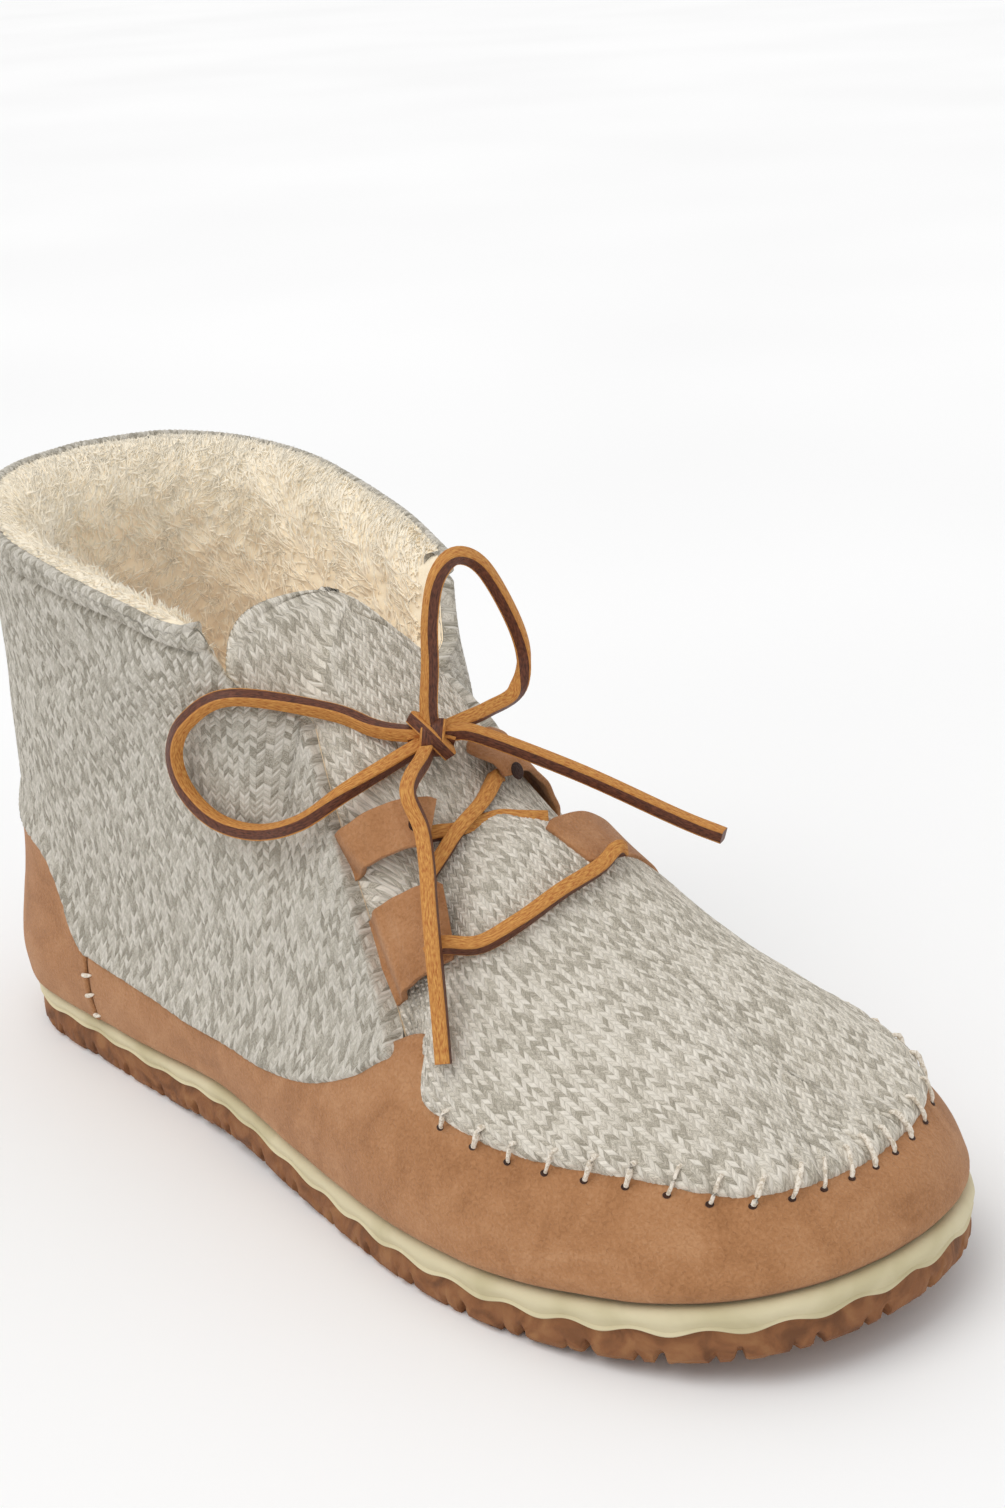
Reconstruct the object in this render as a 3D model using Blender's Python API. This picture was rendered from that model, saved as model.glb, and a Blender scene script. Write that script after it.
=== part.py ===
"""Ankle boot for the right foot with a moccasin toe, in metres.

+X points to the toe, +Y to the wearer's left and +Z up. The boot stands on z = 0 and the
middle of its sole is over the origin. Every piece of the upper is cut from one last: a point
of the last has a turn, which runs round the foot from the heel's back (0) by the outer side
to the toe (1) and back by the inner side (2), and a rise, from 0 at the sole to 1 at the
crest, which is the collar at the back and the ridge of the instep and toe at the front.
"""

from collections import namedtuple

import bpy
import numpy as np
from mathutils import Vector

# Driving dimensions
SOLE_LENGTH = 0.265
BALL_WIDTH = 0.098
HEEL_WIDTH = 0.070
BACK_HEIGHT = 0.139
OUTSOLE_THICKNESS = 0.0070
MIDSOLE_THICKNESS = 0.0050
TOE_SPRING = 0.0080
HEEL_SPRING = 0.0012
ARCH_RISE = 0.0020
TOE_LEAN = 0.0054
SOLE_LIP = 0.0026
SOLE_RIM = 0.0080
WALL = 0.0030
SUEDE = 0.0013
KNIT_RAISE = 0.0020
TONGUE_THICKNESS = 0.0025
TONGUE_STANDS = 0.0050
TONGUE_GAP = 0.0009
TONGUE_TUCK = 0.0012
TONGUE_COLUMNS = 13
INSOLE_THICKNESS = 0.0040
BINDING_HEIGHT = 0.0045
BINDING_THICKNESS = 0.0012
MUDGUARD_HEIGHT = 0.0250
COUNTER_HEIGHT = 0.0560
HEEL_SWELL = 0.0035
SIDE_SWELL = 0.0040
SWELL_HEIGHT = 0.0400
MERGE = 1e-6
GAP = 0.0003
SOFT_GAP = 0.0010
OVERLAY_GAP = 0.0006
COUNTER_GAP = 0.0009
JOINT_DIP = 0.0007
LACE = 0.0030
EYELET = 0.0042
WAVE_PITCH = 0.0145
WAVE_HEIGHT = 0.0007
LUG_PITCH = 0.0150
LUG_DEPTH = 0.0018
LUG_NOTCH = 0.0015
MIDSOLE_BULGE = 0.0007

# How far everything is moved, so that the whole boot is over the origin
MIDDLE = np.array((0.0009, 0.0002, 0.0))

# Where the counter's side seams are, and where the throat starts and ends
SEAM_TURN = 0.300
CORNER_TURN = 0.452
THROAT_TURN = 0.650
PLUG_TURN = 0.630
RIDGE_TURN = 0.500
# Between these turns the width passes from the heel's to the ball's
BALL_FROM, BALL_FULL = 0.42, 0.52
BINDING_SHORT = 0.004
# How steeply the ridge falls where it ends at the toe
RIDGE_SLOPE = 0.52
# Above this rise the collar's way out no longer changes
COLLAR_CALM = 0.80
# Every wall has rows of points at these heights over the sole, and the rest evenly above
BASE_ROWS = (0.0, 0.0015, 0.0040, 0.0080)

# The sole's edge: shares of the half width on the outer and the inner side
Edge = namedtuple("Edge", "turn outer inner")
OUTLINE = (
    Edge(0.10, 0.55, 0.55),
    Edge(0.20, 0.94, 0.93),
    Edge(0.30, 1.00, 0.96),
    Edge(0.42, 1.07, 0.90),
    Edge(0.52, 0.88, 0.76),
    Edge(0.62, 0.985, 0.93),
    Edge(0.72, 0.915, 0.995),
    Edge(0.82, 0.70, 0.89),
    Edge(0.91, 0.37, 0.575),
)

# The sole's underside along its length: shares of the heel spring, arch rise and toe spring
Ground = namedtuple("Ground", "along heel arch toe")
UNDERSIDE = (
    Ground(0.00, 1, 0, 0),
    Ground(0.06, 0, 0, 0),
    Ground(0.27, 0, 0, 0),
    Ground(0.42, 0, 1, 0),
    Ground(0.57, 0, 0, 0),
    Ground(0.74, 0, 0, 0),
    Ground(0.88, 0, 0, 0.36),
    Ground(1.00, 0, 0, 1),
)

# The crest: share of the length, of the ball's half width, and of the back's height
Crest = namedtuple("Crest", "turn along across high")
CRESTS = (
    Crest(0.00, 0.058, 0.00, 1.000),
    Crest(0.10, 0.070, 0.39, 0.996),
    Crest(0.20, 0.120, 0.745, 0.978),
    Crest(0.30, 0.208, 0.915, 0.942),
    Crest(0.40, 0.332, 0.86, 0.890),
    Crest(0.45, 0.404, 0.73, 0.860),
    Crest(0.48, 0.430, 0.43, 0.865),
    Crest(0.50, 0.442, 0.00, 0.868),
    Crest(0.55, 0.505, 0.00, 0.755),
    Crest(0.60, 0.577, 0.00, 0.632),
    Crest(0.65, 0.652, 0.00, 0.523),
    Crest(0.70, 0.718, 0.00, 0.452),
    Crest(0.78, 0.797, 0.00, 0.381),
    Crest(0.86, 0.843, 0.00, 0.333),
    Crest(0.93, 0.864, 0.00, 0.310),
    Crest(1.00, 0.872, 0.00, 0.302),
)

# How round a section is (1 is straight, 2 an ellipse), and its swell over the sole
Section = namedtuple("Section", "turn round heel_swell side_swell")
SECTIONS = (
    Section(0.00, 1.15, 1.0, 0),
    Section(0.15, 1.15, 1.0, 0),
    Section(0.30, 1.20, 0.3, 0.6),
    Section(0.42, 1.55, 0, 0.75),
    Section(0.50, 1.85, 0, 0.8),
    Section(0.60, 1.72, 0, 0.8),
    Section(0.75, 1.86, 0, 0.5),
    Section(0.88, 2.08, 0, 0.15),
    Section(1.00, 2.00, 0, 0),
)

# The quarters' front edge, down to the mudguard, then across the foot under the plug
Rise = namedtuple("Rise", "turn rise")
THROAT = (
    Rise(0.452, 1.00),
    Rise(0.459, 0.85),
    Rise(0.466, 0.75),
    Rise(0.476, 0.69),
    Rise(0.539, 0.515),
    Rise(0.573, 0.431),
    Rise(0.599, 0.353),
    Rise(0.613, 0.300),
    Rise(0.622, 0.42),
    Rise(0.636, 0.70),
    Rise(0.650, 1.00),
)

# The mudguard's upper edge: share of its height, over the sole
Line = namedtuple("Line", "turn high")
MUDGUARD_LINE = (
    Line(0.300, 0.69),
    Line(0.334, 0.67),
    Line(0.377, 0.60),
    Line(0.428, 0.51),
    Line(0.474, 0.55),
    Line(0.531, 0.73),
    Line(0.575, 1.02),
    Line(0.596, 1.23),
    Line(0.618, 1.36),
    Line(0.630, 1.22),
    Line(0.655, 1.12),
    Line(0.700, 1.02),
    Line(0.775, 0.92),
    Line(0.868, 0.72),
    Line(1.000, 0.65),
)

# The heel counter's upper edge: share of its height, over the sole
COUNTER_LINE = (
    Line(0.000, 1.00),
    Line(0.080, 0.98),
    Line(0.150, 0.83),
    Line(0.200, 0.75),
    Line(0.240, 0.70),
    Line(0.262, 0.58),
    Line(0.279, 0.42),
    Line(0.290, 0.335),
    Line(0.300, 0.300),
)

# The tongue's side on each half, and its top edge from the outer side to the inner side
TONGUE_SIDE = (
    Rise(0.500, 0.50),
    Rise(0.550, 0.42),
    Rise(0.600, 0.34),
    Rise(0.650, 0.38),
    Rise(0.700, 0.46),
)
TongueTop = namedtuple("TongueTop", "across turn rise stands")
TONGUE_TOP = (
    TongueTop(-1.00, 0.465, 0.68, 0),
    TongueTop(-0.85, 0.467, 0.84, 0),
    TongueTop(-0.70, 0.473, 0.95, 0.3),
    TongueTop(-0.50, 0.484, 0.99, 0.8),
    TongueTop(-0.25, 0.490, 1.00, 1.0),
    TongueTop(0.00, 0.500, 1.00, 0.7),
    TongueTop(0.30, 0.510, 0.90, 0.3),
    TongueTop(0.60, 0.512, 0.72, 0.1),
    TongueTop(1.00, 0.512, 0.52, 0),
)

# The eye tabs: where their four corners are, base first, in turn and rise
Tab = namedtuple("Tab", "name corners")
TABS = (
    Tab("outer_upper", ((0.533, 0.50), (0.556, 0.455), (0.594, 0.693), (0.586, 0.82))),
    Tab("outer_lower", ((0.567, 0.41), (0.596, 0.335), (0.629, 0.544), (0.606, 0.66))),
    Tab("inner_upper", ((1.467, 0.50), (1.444, 0.455), (1.397, 0.88), (1.415, 0.95))),
    Tab("inner_lower", ((1.433, 0.43), (1.404, 0.38), (1.338, 0.87), (1.372, 0.94))),
)
TAB_LIFTS = (0.0004, 0.0033)
EYELET_PLACE = (0.86, 0.50)

# The lace's runs over the throat: a row for each bend, in millimetres
Bend = namedtuple("Bend", "x y z")
LACE_BAR = (
    Bend(44.4, -30.6, 67.6),
    Bend(49.2, -25.2, 67.4),
    Bend(51.8, -16.7, 70.4),
    Bend(51.8, -5.3, 73.1),
    Bend(50.7, 6.7, 74.3),
    Bend(49.2, 12.9, 75.4),
)
LACE_UNDER = (
    Bend(30.6, 3.6, 80.5),
    Bend(27.6, -0.4, 81.0),
    Bend(26.6, -10.4, 81.1),
    Bend(25.0, -13.6, 81.2),
)
LACE_OVER = (
    Bend(21.3, 5.5, 85.9),
    Bend(25.2, -1.4, 82.5),
    Bend(28.0, -10.4, 79.9),
    Bend(28.9, -16.2, 77.1),
)

# The bow, in the same way, each length from the knot outwards
BOW = {
    "lace_knot": (
        Bend(13.2, -4.5, 99.2),
        Bend(14.2, -4.8, 97.2),
        Bend(15.2, -5.1, 95.2),
    ),
    "lace_loop_outer": (
        Bend(11.2, -8.8, 98.2),
        Bend(5.8, -12.9, 99.2),
        Bend(-2.7, -17.9, 102.4),
        Bend(-14.6, -33.7, 107.2),
        Bend(-22.0, -40.3, 102.4),
        Bend(-26.6, -41.4, 94.3),
        Bend(-24.4, -41.0, 86.4),
        Bend(-16.1, -39.8, 81.2),
        Bend(-6.2, -36.6, 80.2),
        Bend(4.7, -33.4, 84.2),
        Bend(9.6, -24.9, 89.6),
        Bend(12.2, -12.2, 93.8),
    ),
    "lace_loop_upper": (
        Bend(15.2, -6.2, 104.2),
        Bend(15.5, -5.2, 112.7),
        Bend(15.5, -4.4, 122.9),
        Bend(15.5, -1.8, 131.0),
        Bend(15.5, 3.6, 134.2),
        Bend(15.5, 10.7, 130.0),
        Bend(15.5, 18.2, 117.0),
        Bend(15.5, 20.7, 107.5),
        Bend(15.9, 17.4, 100.8),
        Bend(16.4, 9.2, 99.8),
        Bend(16.6, 3.0, 99.4),
    ),
    "lace_end_outer": (
        Bend(18.2, -11.6, 93.6),
        Bend(23.6, -18.8, 94.5),
        Bend(26.0, -21.7, 91.8),
        Bend(29.8, -22.0, 86.0),
        Bend(34.4, -25.0, 80.6),
        Bend(41.0, -30.4, 75.6),
        Bend(47.4, -35.4, 68.6),
        Bend(51.0, -38.0, 60.0),
        Bend(55.4, -41.4, 49.8),
    ),
    "lace_end_inner": (
        Bend(17.4, -1.7, 97.7),
        Bend(21.8, 2.0, 97.2),
        Bend(36.2, 16.0, 88.3),
        Bend(52.7, 28.0, 78.8),
        Bend(61.5, 32.0, 75.9),
    ),
}
KNOT = 0.0075
CORD_STEP = 0.0085

Look = namedtuple("Look", "colour roughness")
LOOKS = {
    "rubber": Look((0.27, 0.13, 0.058), 0.75),
    "foam": Look((0.62, 0.53, 0.33), 0.60),
    "felt": Look((0.60, 0.52, 0.40), 0.95),
    "knit": Look((0.60, 0.57, 0.51), 0.95),
    "suede": Look((0.42, 0.22, 0.12), 0.90),
    "leather": Look((0.45, 0.22, 0.08), 0.60),
}


def ramp(low, high, value):
    """0 below low, 1 above high, and smooth between them."""
    k = np.clip((value - low) / (high - low), 0, 1)
    return k * k * (3 - 2 * k)


def hermite(xs, ys, slopes, i, x):
    """The cubic between rows i and i + 1."""
    h = xs[i + 1] - xs[i]
    t = (x - xs[i]) / h
    value = (2 * t**3 - 3 * t**2 + 1) * ys[i] + (3 * t**2 - 2 * t**3) * ys[i + 1]
    return value + h * ((t**3 - 2 * t**2 + t) * slopes[i] + (t**3 - t**2) * slopes[i + 1])


def through(rows, x):
    """A smooth curve through (x, y) rows that stays between neighbouring rows."""
    xs, ys = np.array(rows, float).T
    x = np.clip(np.asarray(x, float), xs[0], xs[-1])
    width, slope = np.diff(xs), np.diff(ys) / np.diff(xs)
    same_way = slope[:-1] * slope[1:] > 0
    left = np.where(same_way, slope[:-1], 1.0)
    right = np.where(same_way, slope[1:], 1.0)
    whole = 3 * (width[:-1] + width[1:])
    mean = whole / ((2 * width[1:] + width[:-1]) / left + (width[1:] + 2 * width[:-1]) / right)
    slopes = np.concatenate([slope[:1], np.where(same_way, mean, 0.0), slope[-1:]])
    i = np.clip(np.searchsorted(xs, x) - 1, 0, len(xs) - 2)
    return hermite(xs, ys, slopes, i, x)


def around(rows, turn):
    """A smooth closed curve through (turn, y) rows, with a period of 2."""
    xs, ys = np.array(rows, float).T
    xs = np.concatenate([xs[-2:] - 2, xs, xs[:2] + 2])
    ys = np.concatenate([ys[-2:], ys, ys[:2]])
    inner = (ys[2:] - ys[:-2]) / (xs[2:] - xs[:-2])
    slopes = np.concatenate([inner[:1], inner, inner[-1:]])
    turn = np.mod(np.asarray(turn, float), 2)
    i = np.clip(np.searchsorted(xs, turn, side="right") - 1, 1, len(xs) - 3)
    return hermite(xs, ys, slopes, i, turn)


def one_side(turn):
    """The turn of the same place on the outer side, from 0 to 1."""
    turn = np.mod(np.asarray(turn, float), 2)
    return np.where(turn > 1, 2 - turn, turn)


def half_width(turn):
    """The half width that the outline's shares are of."""
    share = ramp(BALL_FROM, BALL_FULL, turn)
    return 0.5 * (HEEL_WIDTH * (1 - share) + BALL_WIDTH * share)


def edge_rows():
    """The sole's edge as (turn, y) rows all round."""
    outer = [(e.turn, -e.outer * half_width(e.turn)) for e in OUTLINE]
    inner = [(2 - e.turn, e.inner * half_width(e.turn)) for e in reversed(OUTLINE)]
    return [(0.0, 0.0), *outer, (1.0, TOE_LEAN), *inner]


EDGE_ROWS = edge_rows()


def edge(turn):
    """The sole's edge from above, as (x, y)."""
    turn = np.asarray(turn, float)
    return np.stack([-0.5 * SOLE_LENGTH * np.cos(np.pi * turn), around(EDGE_ROWS, turn)], -1)


def outward(turn):
    """The way out of the sole's edge, from above."""
    along = edge(np.asarray(turn) + 1e-4) - edge(np.asarray(turn) - 1e-4)
    way = np.stack([along[..., 1], -along[..., 0]], -1)
    return way / np.linalg.norm(way, axis=-1, keepdims=True)


def ground(x):
    """How far the sole's underside is from the floor."""
    rows = [(g.along, g.heel * HEEL_SPRING + g.arch * ARCH_RISE + g.toe * TOE_SPRING) for g in UNDERSIDE]
    return through(rows, x / SOLE_LENGTH + 0.5)


def sole_top(x):
    """The height of the midsole's top."""
    return ground(x) + OUTSOLE_THICKNESS + MIDSOLE_THICKNESS


def feather(turn):
    """Where the upper meets the sole."""
    at = edge(turn)
    inside = at - outward(turn) * SOLE_LIP
    return np.concatenate([inside, (sole_top(at[..., 0]) + GAP)[..., None]], -1)


def crest(turn):
    """The last's top line: the collar, then the ridge of the instep and toe."""
    turn = np.asarray(turn, float)
    at = one_side(turn)
    side = np.where(np.mod(turn, 2) > 1, 0.5, -0.5)
    x = (through([(c.turn, c.along) for c in CRESTS], at) - 0.5) * SOLE_LENGTH
    y = through([(c.turn, c.across) for c in CRESTS], at) * BALL_WIDTH * side
    z = through([(c.turn, c.high) for c in CRESTS], at) * BACK_HEIGHT
    return np.stack([x, y + TOE_LEAN * ramp(RIDGE_TURN, 1.0, at), z], -1)


def roundness(turn):
    """How round the section is at a turn."""
    return through([(s.turn, s.round) for s in SECTIONS], one_side(turn))


def last(turn, rise):
    """The last's surface."""
    turn, rise = np.broadcast_arrays(np.asarray(turn, float), np.asarray(rise, float))
    low, high, power = feather(turn), crest(turn), 2 / roundness(turn)
    up = np.sin(rise * np.pi / 2) ** power
    across = 1 - np.abs(np.cos(rise * np.pi / 2)) ** power
    swells = [(s.turn, s.heel_swell * HEEL_SWELL + s.side_swell * SIDE_SWELL) for s in SECTIONS]
    z = low[..., 2] + (high[..., 2] - low[..., 2]) * up
    share = np.clip((z - low[..., 2]) / np.minimum(SWELL_HEIGHT, high[..., 2] - low[..., 2]), 0, 1)
    swell = through(swells, one_side(turn)) * np.maximum(np.sin(np.pi * np.sqrt(share)), 0) ** 1.5
    plan = low[..., :2] + (high[..., :2] - low[..., :2]) * across[..., None]
    plan = plan + outward(turn) * swell[..., None]
    lean = RIDGE_SLOPE * ramp(0.80, 0.94, one_side(turn)) * np.sin(rise * np.pi / 2) ** 4
    z = z - lean * np.maximum(plan[..., 0] - high[..., 0], 0)
    return np.concatenate([plan, z[..., None]], -1)


def rise_at(turn, z):
    """The rise at which the last reaches a height."""
    low, high = feather(turn)[..., 2], crest(turn)[..., 2]
    share = np.clip((z - low) / (high - low), 0, 1)
    return np.arcsin(share ** (roundness(turn) / 2)) / (np.pi / 2)


def normal(turn, rise):
    """The way out of the last, level at the sole and upright on the ridge."""
    turn, rise = np.broadcast_arrays(np.asarray(turn, float), np.asarray(rise, float))
    rise = np.where(one_side(turn) < RIDGE_TURN, np.minimum(rise, COLLAR_CALM), rise)
    step = 1e-3
    low, high = np.clip(rise - step, 0, 1), np.clip(rise + step, 0, 1)
    way = np.cross(last(turn + step, rise) - last(turn - step, rise), last(turn, high) - last(turn, low))
    way[..., 2] *= ramp(0.0, 0.08, rise)
    ahead = np.minimum(one_side(turn) + step, 1.0)
    along = crest(ahead) - crest(ahead - 2 * step)
    ridge = np.stack([-along[..., 2], np.zeros(turn.shape), along[..., 0]], -1)
    on_ridge = (rise > 0.9999) & (one_side(turn) >= RIDGE_TURN)
    way = np.where(on_ridge[..., None], ridge, way)
    return way / np.linalg.norm(way, axis=-1, keepdims=True)


def skin(turn, rise, lift):
    """A point at a height over the last's surface."""
    return last(turn, rise) + normal(turn, rise) * np.asarray(lift)[..., None]


def both_sides(outer):
    """The turns of one side, and the same turns on the other side after them."""
    inner = [2 - t for t in reversed(outer) if 0 < t < 1]
    return np.array([*outer, *inner])


def columns(first, last_turn):
    """The turns at which the upper's pieces have a column of points, on the outer side."""
    spaced = [0, 0.05, 0.10, 0.14, 0.18, 0.22, 0.255, 0.28, 0.325, 0.36, 0.395, 0.425, CORNER_TURN]
    spaced += [0.459, 0.466, 0.476, 0.50, 0.53, 0.56, 0.585, 0.602, 0.613, 0.622, PLUG_TURN, 0.638]
    spaced += [THROAT_TURN, 0.675, 0.705, 0.74, 0.775, 0.81, 0.845, 0.88, 0.915, 0.95, 0.98, 1.0]
    between = [t for t in spaced if first + 0.003 < t < last_turn - 0.003]
    return [first, *between, last_turn]


def solid(name, look, outer, inner, ring=False):
    """A closed solid between two grids of points, [column][row], with merged seams."""
    count, rows = outer.shape[:2]
    keys = np.floor(outer.reshape(-1, 3) / MERGE + 1 / np.pi)
    _, first, same = np.unique(keys, axis=0, return_index=True, return_inverse=True)
    same = same.reshape(count, rows)
    faces, edges = [], {}
    for i in range(count if ring else count - 1):
        k = (i + 1) % count
        for j in range(rows - 1):
            corners = [same[i, j], same[k, j], same[k, j + 1], same[i, j + 1]]
            corners = [int(v) for n, v in enumerate(corners) if v != corners[n - 1]]
            if len(set(corners)) > 2:
                faces.append(corners)
    for face in faces:
        for a, b in zip(face, face[1:] + face[:1], strict=True):
            edges[a, b] = edges.get((a, b), 0) + 1
    shift = len(first)
    inside = [[v + shift for v in reversed(face)] for face in faces]
    rim = [(b, a, a + shift, b + shift) for a, b in edges if (b, a) not in edges]
    points = np.concatenate([outer.reshape(-1, 3)[first], inner.reshape(-1, 3)[first]])
    return place(name, look, points, faces + inside + rim)


def place(name, look, points, faces):
    """A mesh object with its own material, shaded smooth except at its sharp edges."""
    mesh = bpy.data.meshes.new(name)
    mesh.from_pydata([tuple(p) for p in np.asarray(points) + MIDDLE], [], faces)
    mesh.shade_smooth()
    mesh.set_sharp_from_angle(angle=np.radians(40))
    thing = bpy.data.objects.new(name, mesh)
    bpy.context.collection.objects.link(thing)
    thing.data.materials.append(material(name, look))
    return thing


def material(name, look):
    """A Principled material in one of the boot's colours."""
    paint = bpy.data.materials.new(name)
    paint.use_nodes = True
    shader = paint.node_tree.nodes["Principled BSDF"]
    shader.inputs["Base Color"].default_value = (*LOOKS[look].colour, 1)
    shader.inputs["Roughness"].default_value = LOOKS[look].roughness
    return paint


def arc_to(turn):
    """The length of the sole's edge from the heel's back to a turn."""
    fine = np.linspace(0, 2, 2001)
    steps = np.linalg.norm(np.diff(edge(fine), axis=0), axis=1)
    return np.interp(turn, fine, np.concatenate([[0], np.cumsum(steps)]))


def turn_at(arc):
    """The turn at a length along the sole's edge."""
    fine = np.linspace(0, 1, 1001)
    return np.interp(arc, arc_to(fine), fine)


def sole_columns():
    """The sole's columns on one side, as (turn, is it the bottom of a notch between lugs)."""
    side = float(arc_to(1.0))
    count = round(side / LUG_PITCH)
    middles = (np.arange(count) + 0.5) * side / count
    found = []
    for middle in middles:
        found += [(middle - LUG_NOTCH, False), (middle, True), (middle + LUG_NOTCH, False)]
    step = side / count / 3
    found += [(middle + step * k, False) for middle in middles for k in (-1, 1)]
    found += [(0.0, False), (side, False)]
    return [(float(turn_at(arc)), notch) for arc, notch in sorted(found)]


SOLE_COLUMNS = sole_columns()


def sole_rings():
    """Turns and notch marks of the sole's columns all round."""
    inner = [(2 - t, notch) for t, notch in reversed(SOLE_COLUMNS) if 0 < t < 1]
    turns, notches = zip(*SOLE_COLUMNS, *inner, strict=True)
    return np.array(turns), np.array(notches, float)


def ring_of(turns, out, z):
    """A ring of points beside the sole's edge."""
    plan = edge(turns) + outward(turns) * np.asarray(out)[..., None]
    return np.concatenate([plan, z[:, None]], -1)


def across(count, start):
    """Faces that cross the sole from one side of a ring to the other, facing down."""
    half = count // 2
    faces = [(start, start + count - 1, start + 1)]
    for i in range(1, half - 1):
        faces.append((start + i, start + count - i, start + count - i - 1, start + i + 1))
    faces.append((start + half - 1, start + half + 1, start + half))
    return faces


def stack(name, look, rings):
    """A solid of rings, the lowest inner one first, closed across at both ends."""
    count = len(rings[0])
    faces = across(count, 0)
    for level in range(len(rings) - 1):
        for i in range(count):
            k = (i + 1) % count
            low, high = level * count, (level + 1) * count
            faces.append((low + i, low + k, high + k, high + i))
    top = (len(rings) - 1) * count
    faces += [tuple(reversed(f)) for f in across(count, top)]
    return place(name, look, np.concatenate(rings), faces)


def wave(turns):
    """The wavy line between outsole and midsole, over the flat joint."""
    side = np.where(turns > 1, arc_to(2.0) - arc_to(turns), arc_to(turns))
    pitch = arc_to(1.0) / round(float(arc_to(1.0)) / WAVE_PITCH)
    return WAVE_HEIGHT * np.cos(2 * np.pi * side / pitch)


def sole():
    """The outsole with its lugs, the midsole band on it and the insole inside."""
    turns, notch = sole_rings()
    x = edge(turns)[:, 0]
    low = ground(x)
    joint = low + OUTSOLE_THICKNESS
    grooved = notch * LUG_DEPTH
    level = np.zeros(len(turns))
    stack("outsole", "rubber", [
        ring_of(turns, level - SOLE_RIM, low),
        ring_of(turns, -LUG_DEPTH * 0.3 - notch * LUG_DEPTH * 0.7, low + grooved),
        ring_of(turns, -notch * LUG_DEPTH * 0.5, low + 2 * LUG_DEPTH),
        ring_of(turns, level, joint + wave(turns)),
        ring_of(turns, level - SOLE_RIM, joint - JOINT_DIP),
    ])
    top = sole_top(x)
    stack("midsole", "foam", [
        ring_of(turns, level - SOLE_RIM, joint + GAP),
        ring_of(turns, level, joint + wave(turns) + GAP),
        ring_of(turns, level + MIDSOLE_BULGE, joint + MIDSOLE_THICKNESS * 0.45),
        ring_of(turns, level - GAP, top),
    ])
    turns = both_sides(columns(0.0, 1.0))
    inset = level[: len(turns)] - SOLE_LIP - WALL - SOFT_GAP
    base = sole_top(edge(turns)[:, 0]) + GAP
    stack("insole", "felt", [ring_of(turns, inset, base), ring_of(turns, inset, base + INSOLE_THICKNESS)])


def throat_rise(turn):
    """How high the upper's wall goes at a turn."""
    at = one_side(turn)
    inside = (at > THROAT[0].turn) & (at < THROAT[-1].turn)
    return np.where(inside, np.interp(at, *np.array(THROAT).T), 1.0)


def grid(turns, low, high, rows):
    """Turns and rises of a grid, between two rises at each turn."""
    share = np.linspace(0, 1, rows)
    rises = np.asarray(low)[:, None] * (1 - share) + np.asarray(high)[:, None] * share
    return np.broadcast_to(turns[:, None], rises.shape), rises


def wall(turns, high, rows):
    """Turns and rises of a wall that stands on the sole."""
    foot = feather(turns)[:, 2]
    base = np.stack([rise_at(turns, foot + height) for height in BASE_ROWS], 1)
    above = grid(turns, base[:, -1], high, rows)[1]
    rises = np.concatenate([base, above[:, 1:]], 1)
    return np.broadcast_to(turns[:, None], rises.shape), rises


def patch(name, look, where, lifts, ring=False):
    """A piece of even thickness over a part of the last."""
    outer, inner = (skin(*where, np.full(where[0].shape, lift)) for lift in reversed(lifts))
    return solid(name, look, outer, inner, ring)


def upper():
    """The knitted upper: one wall, open at the collar, the throat and underneath."""
    turns = both_sides(columns(0.0, 1.0))
    patch("upper", "knit", wall(turns, throat_rise(turns), 8), (-WALL, 0.0), ring=True)


def line_rise(rows, height, turn):
    """The rise of an edge that is given by heights over the sole."""
    at = one_side(turn)
    z = sole_top(edge(turn)[..., 0]) + height * through(rows, at)
    return rise_at(turn, z)


def seam_gap():
    """Half the seam's gap, as a turn."""
    return 0.5 * GAP / float(np.linalg.norm(edge(SEAM_TURN + 0.5) - edge(SEAM_TURN - 0.5)))


def suede():
    """The mudguard round the foot and the counter round the heel."""
    lifts = (OVERLAY_GAP, OVERLAY_GAP + SUEDE)
    half_gap = seam_gap() + 0.0004
    front = both_sides(columns(SEAM_TURN + half_gap, 1.0))
    patch("mudguard", "suede", wall(front, line_rise(MUDGUARD_LINE, MUDGUARD_HEIGHT, front), 3), lifts)
    side = columns(0.0, SEAM_TURN - half_gap)
    back = np.array([-t for t in reversed(side)] + side[1:])
    lifts = (COUNTER_GAP, COUNTER_GAP + SUEDE)
    patch("heel_counter", "suede", wall(back, line_rise(COUNTER_LINE, COUNTER_HEIGHT, back), 5), lifts)


def plug():
    """The raised knit apron of the toe, over the upper and inside the mudguard's edge."""
    turns = both_sides(columns(PLUG_TURN, 1.0))
    clear = 0.012
    low = line_rise(MUDGUARD_LINE, MUDGUARD_HEIGHT, turns) + clear
    lifts = (OVERLAY_GAP, OVERLAY_GAP + KNIT_RAISE)
    patch("plug", "knit", grid(turns, low, turns * 0 + 1, 6), lifts)


def binding():
    """The folded band round the collar's outside."""
    side = columns(0.0, CORNER_TURN - BINDING_SHORT)
    turns = np.array([-t for t in reversed(side)] + side[1:])
    high = np.ones(len(turns))
    low = rise_at(turns, crest(turns)[:, 2] - BINDING_HEIGHT)
    lifts = (OVERLAY_GAP, OVERLAY_GAP + BINDING_THICKNESS)
    patch("collar_binding", "knit", grid(turns, low, high, 3), lifts)


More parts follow.
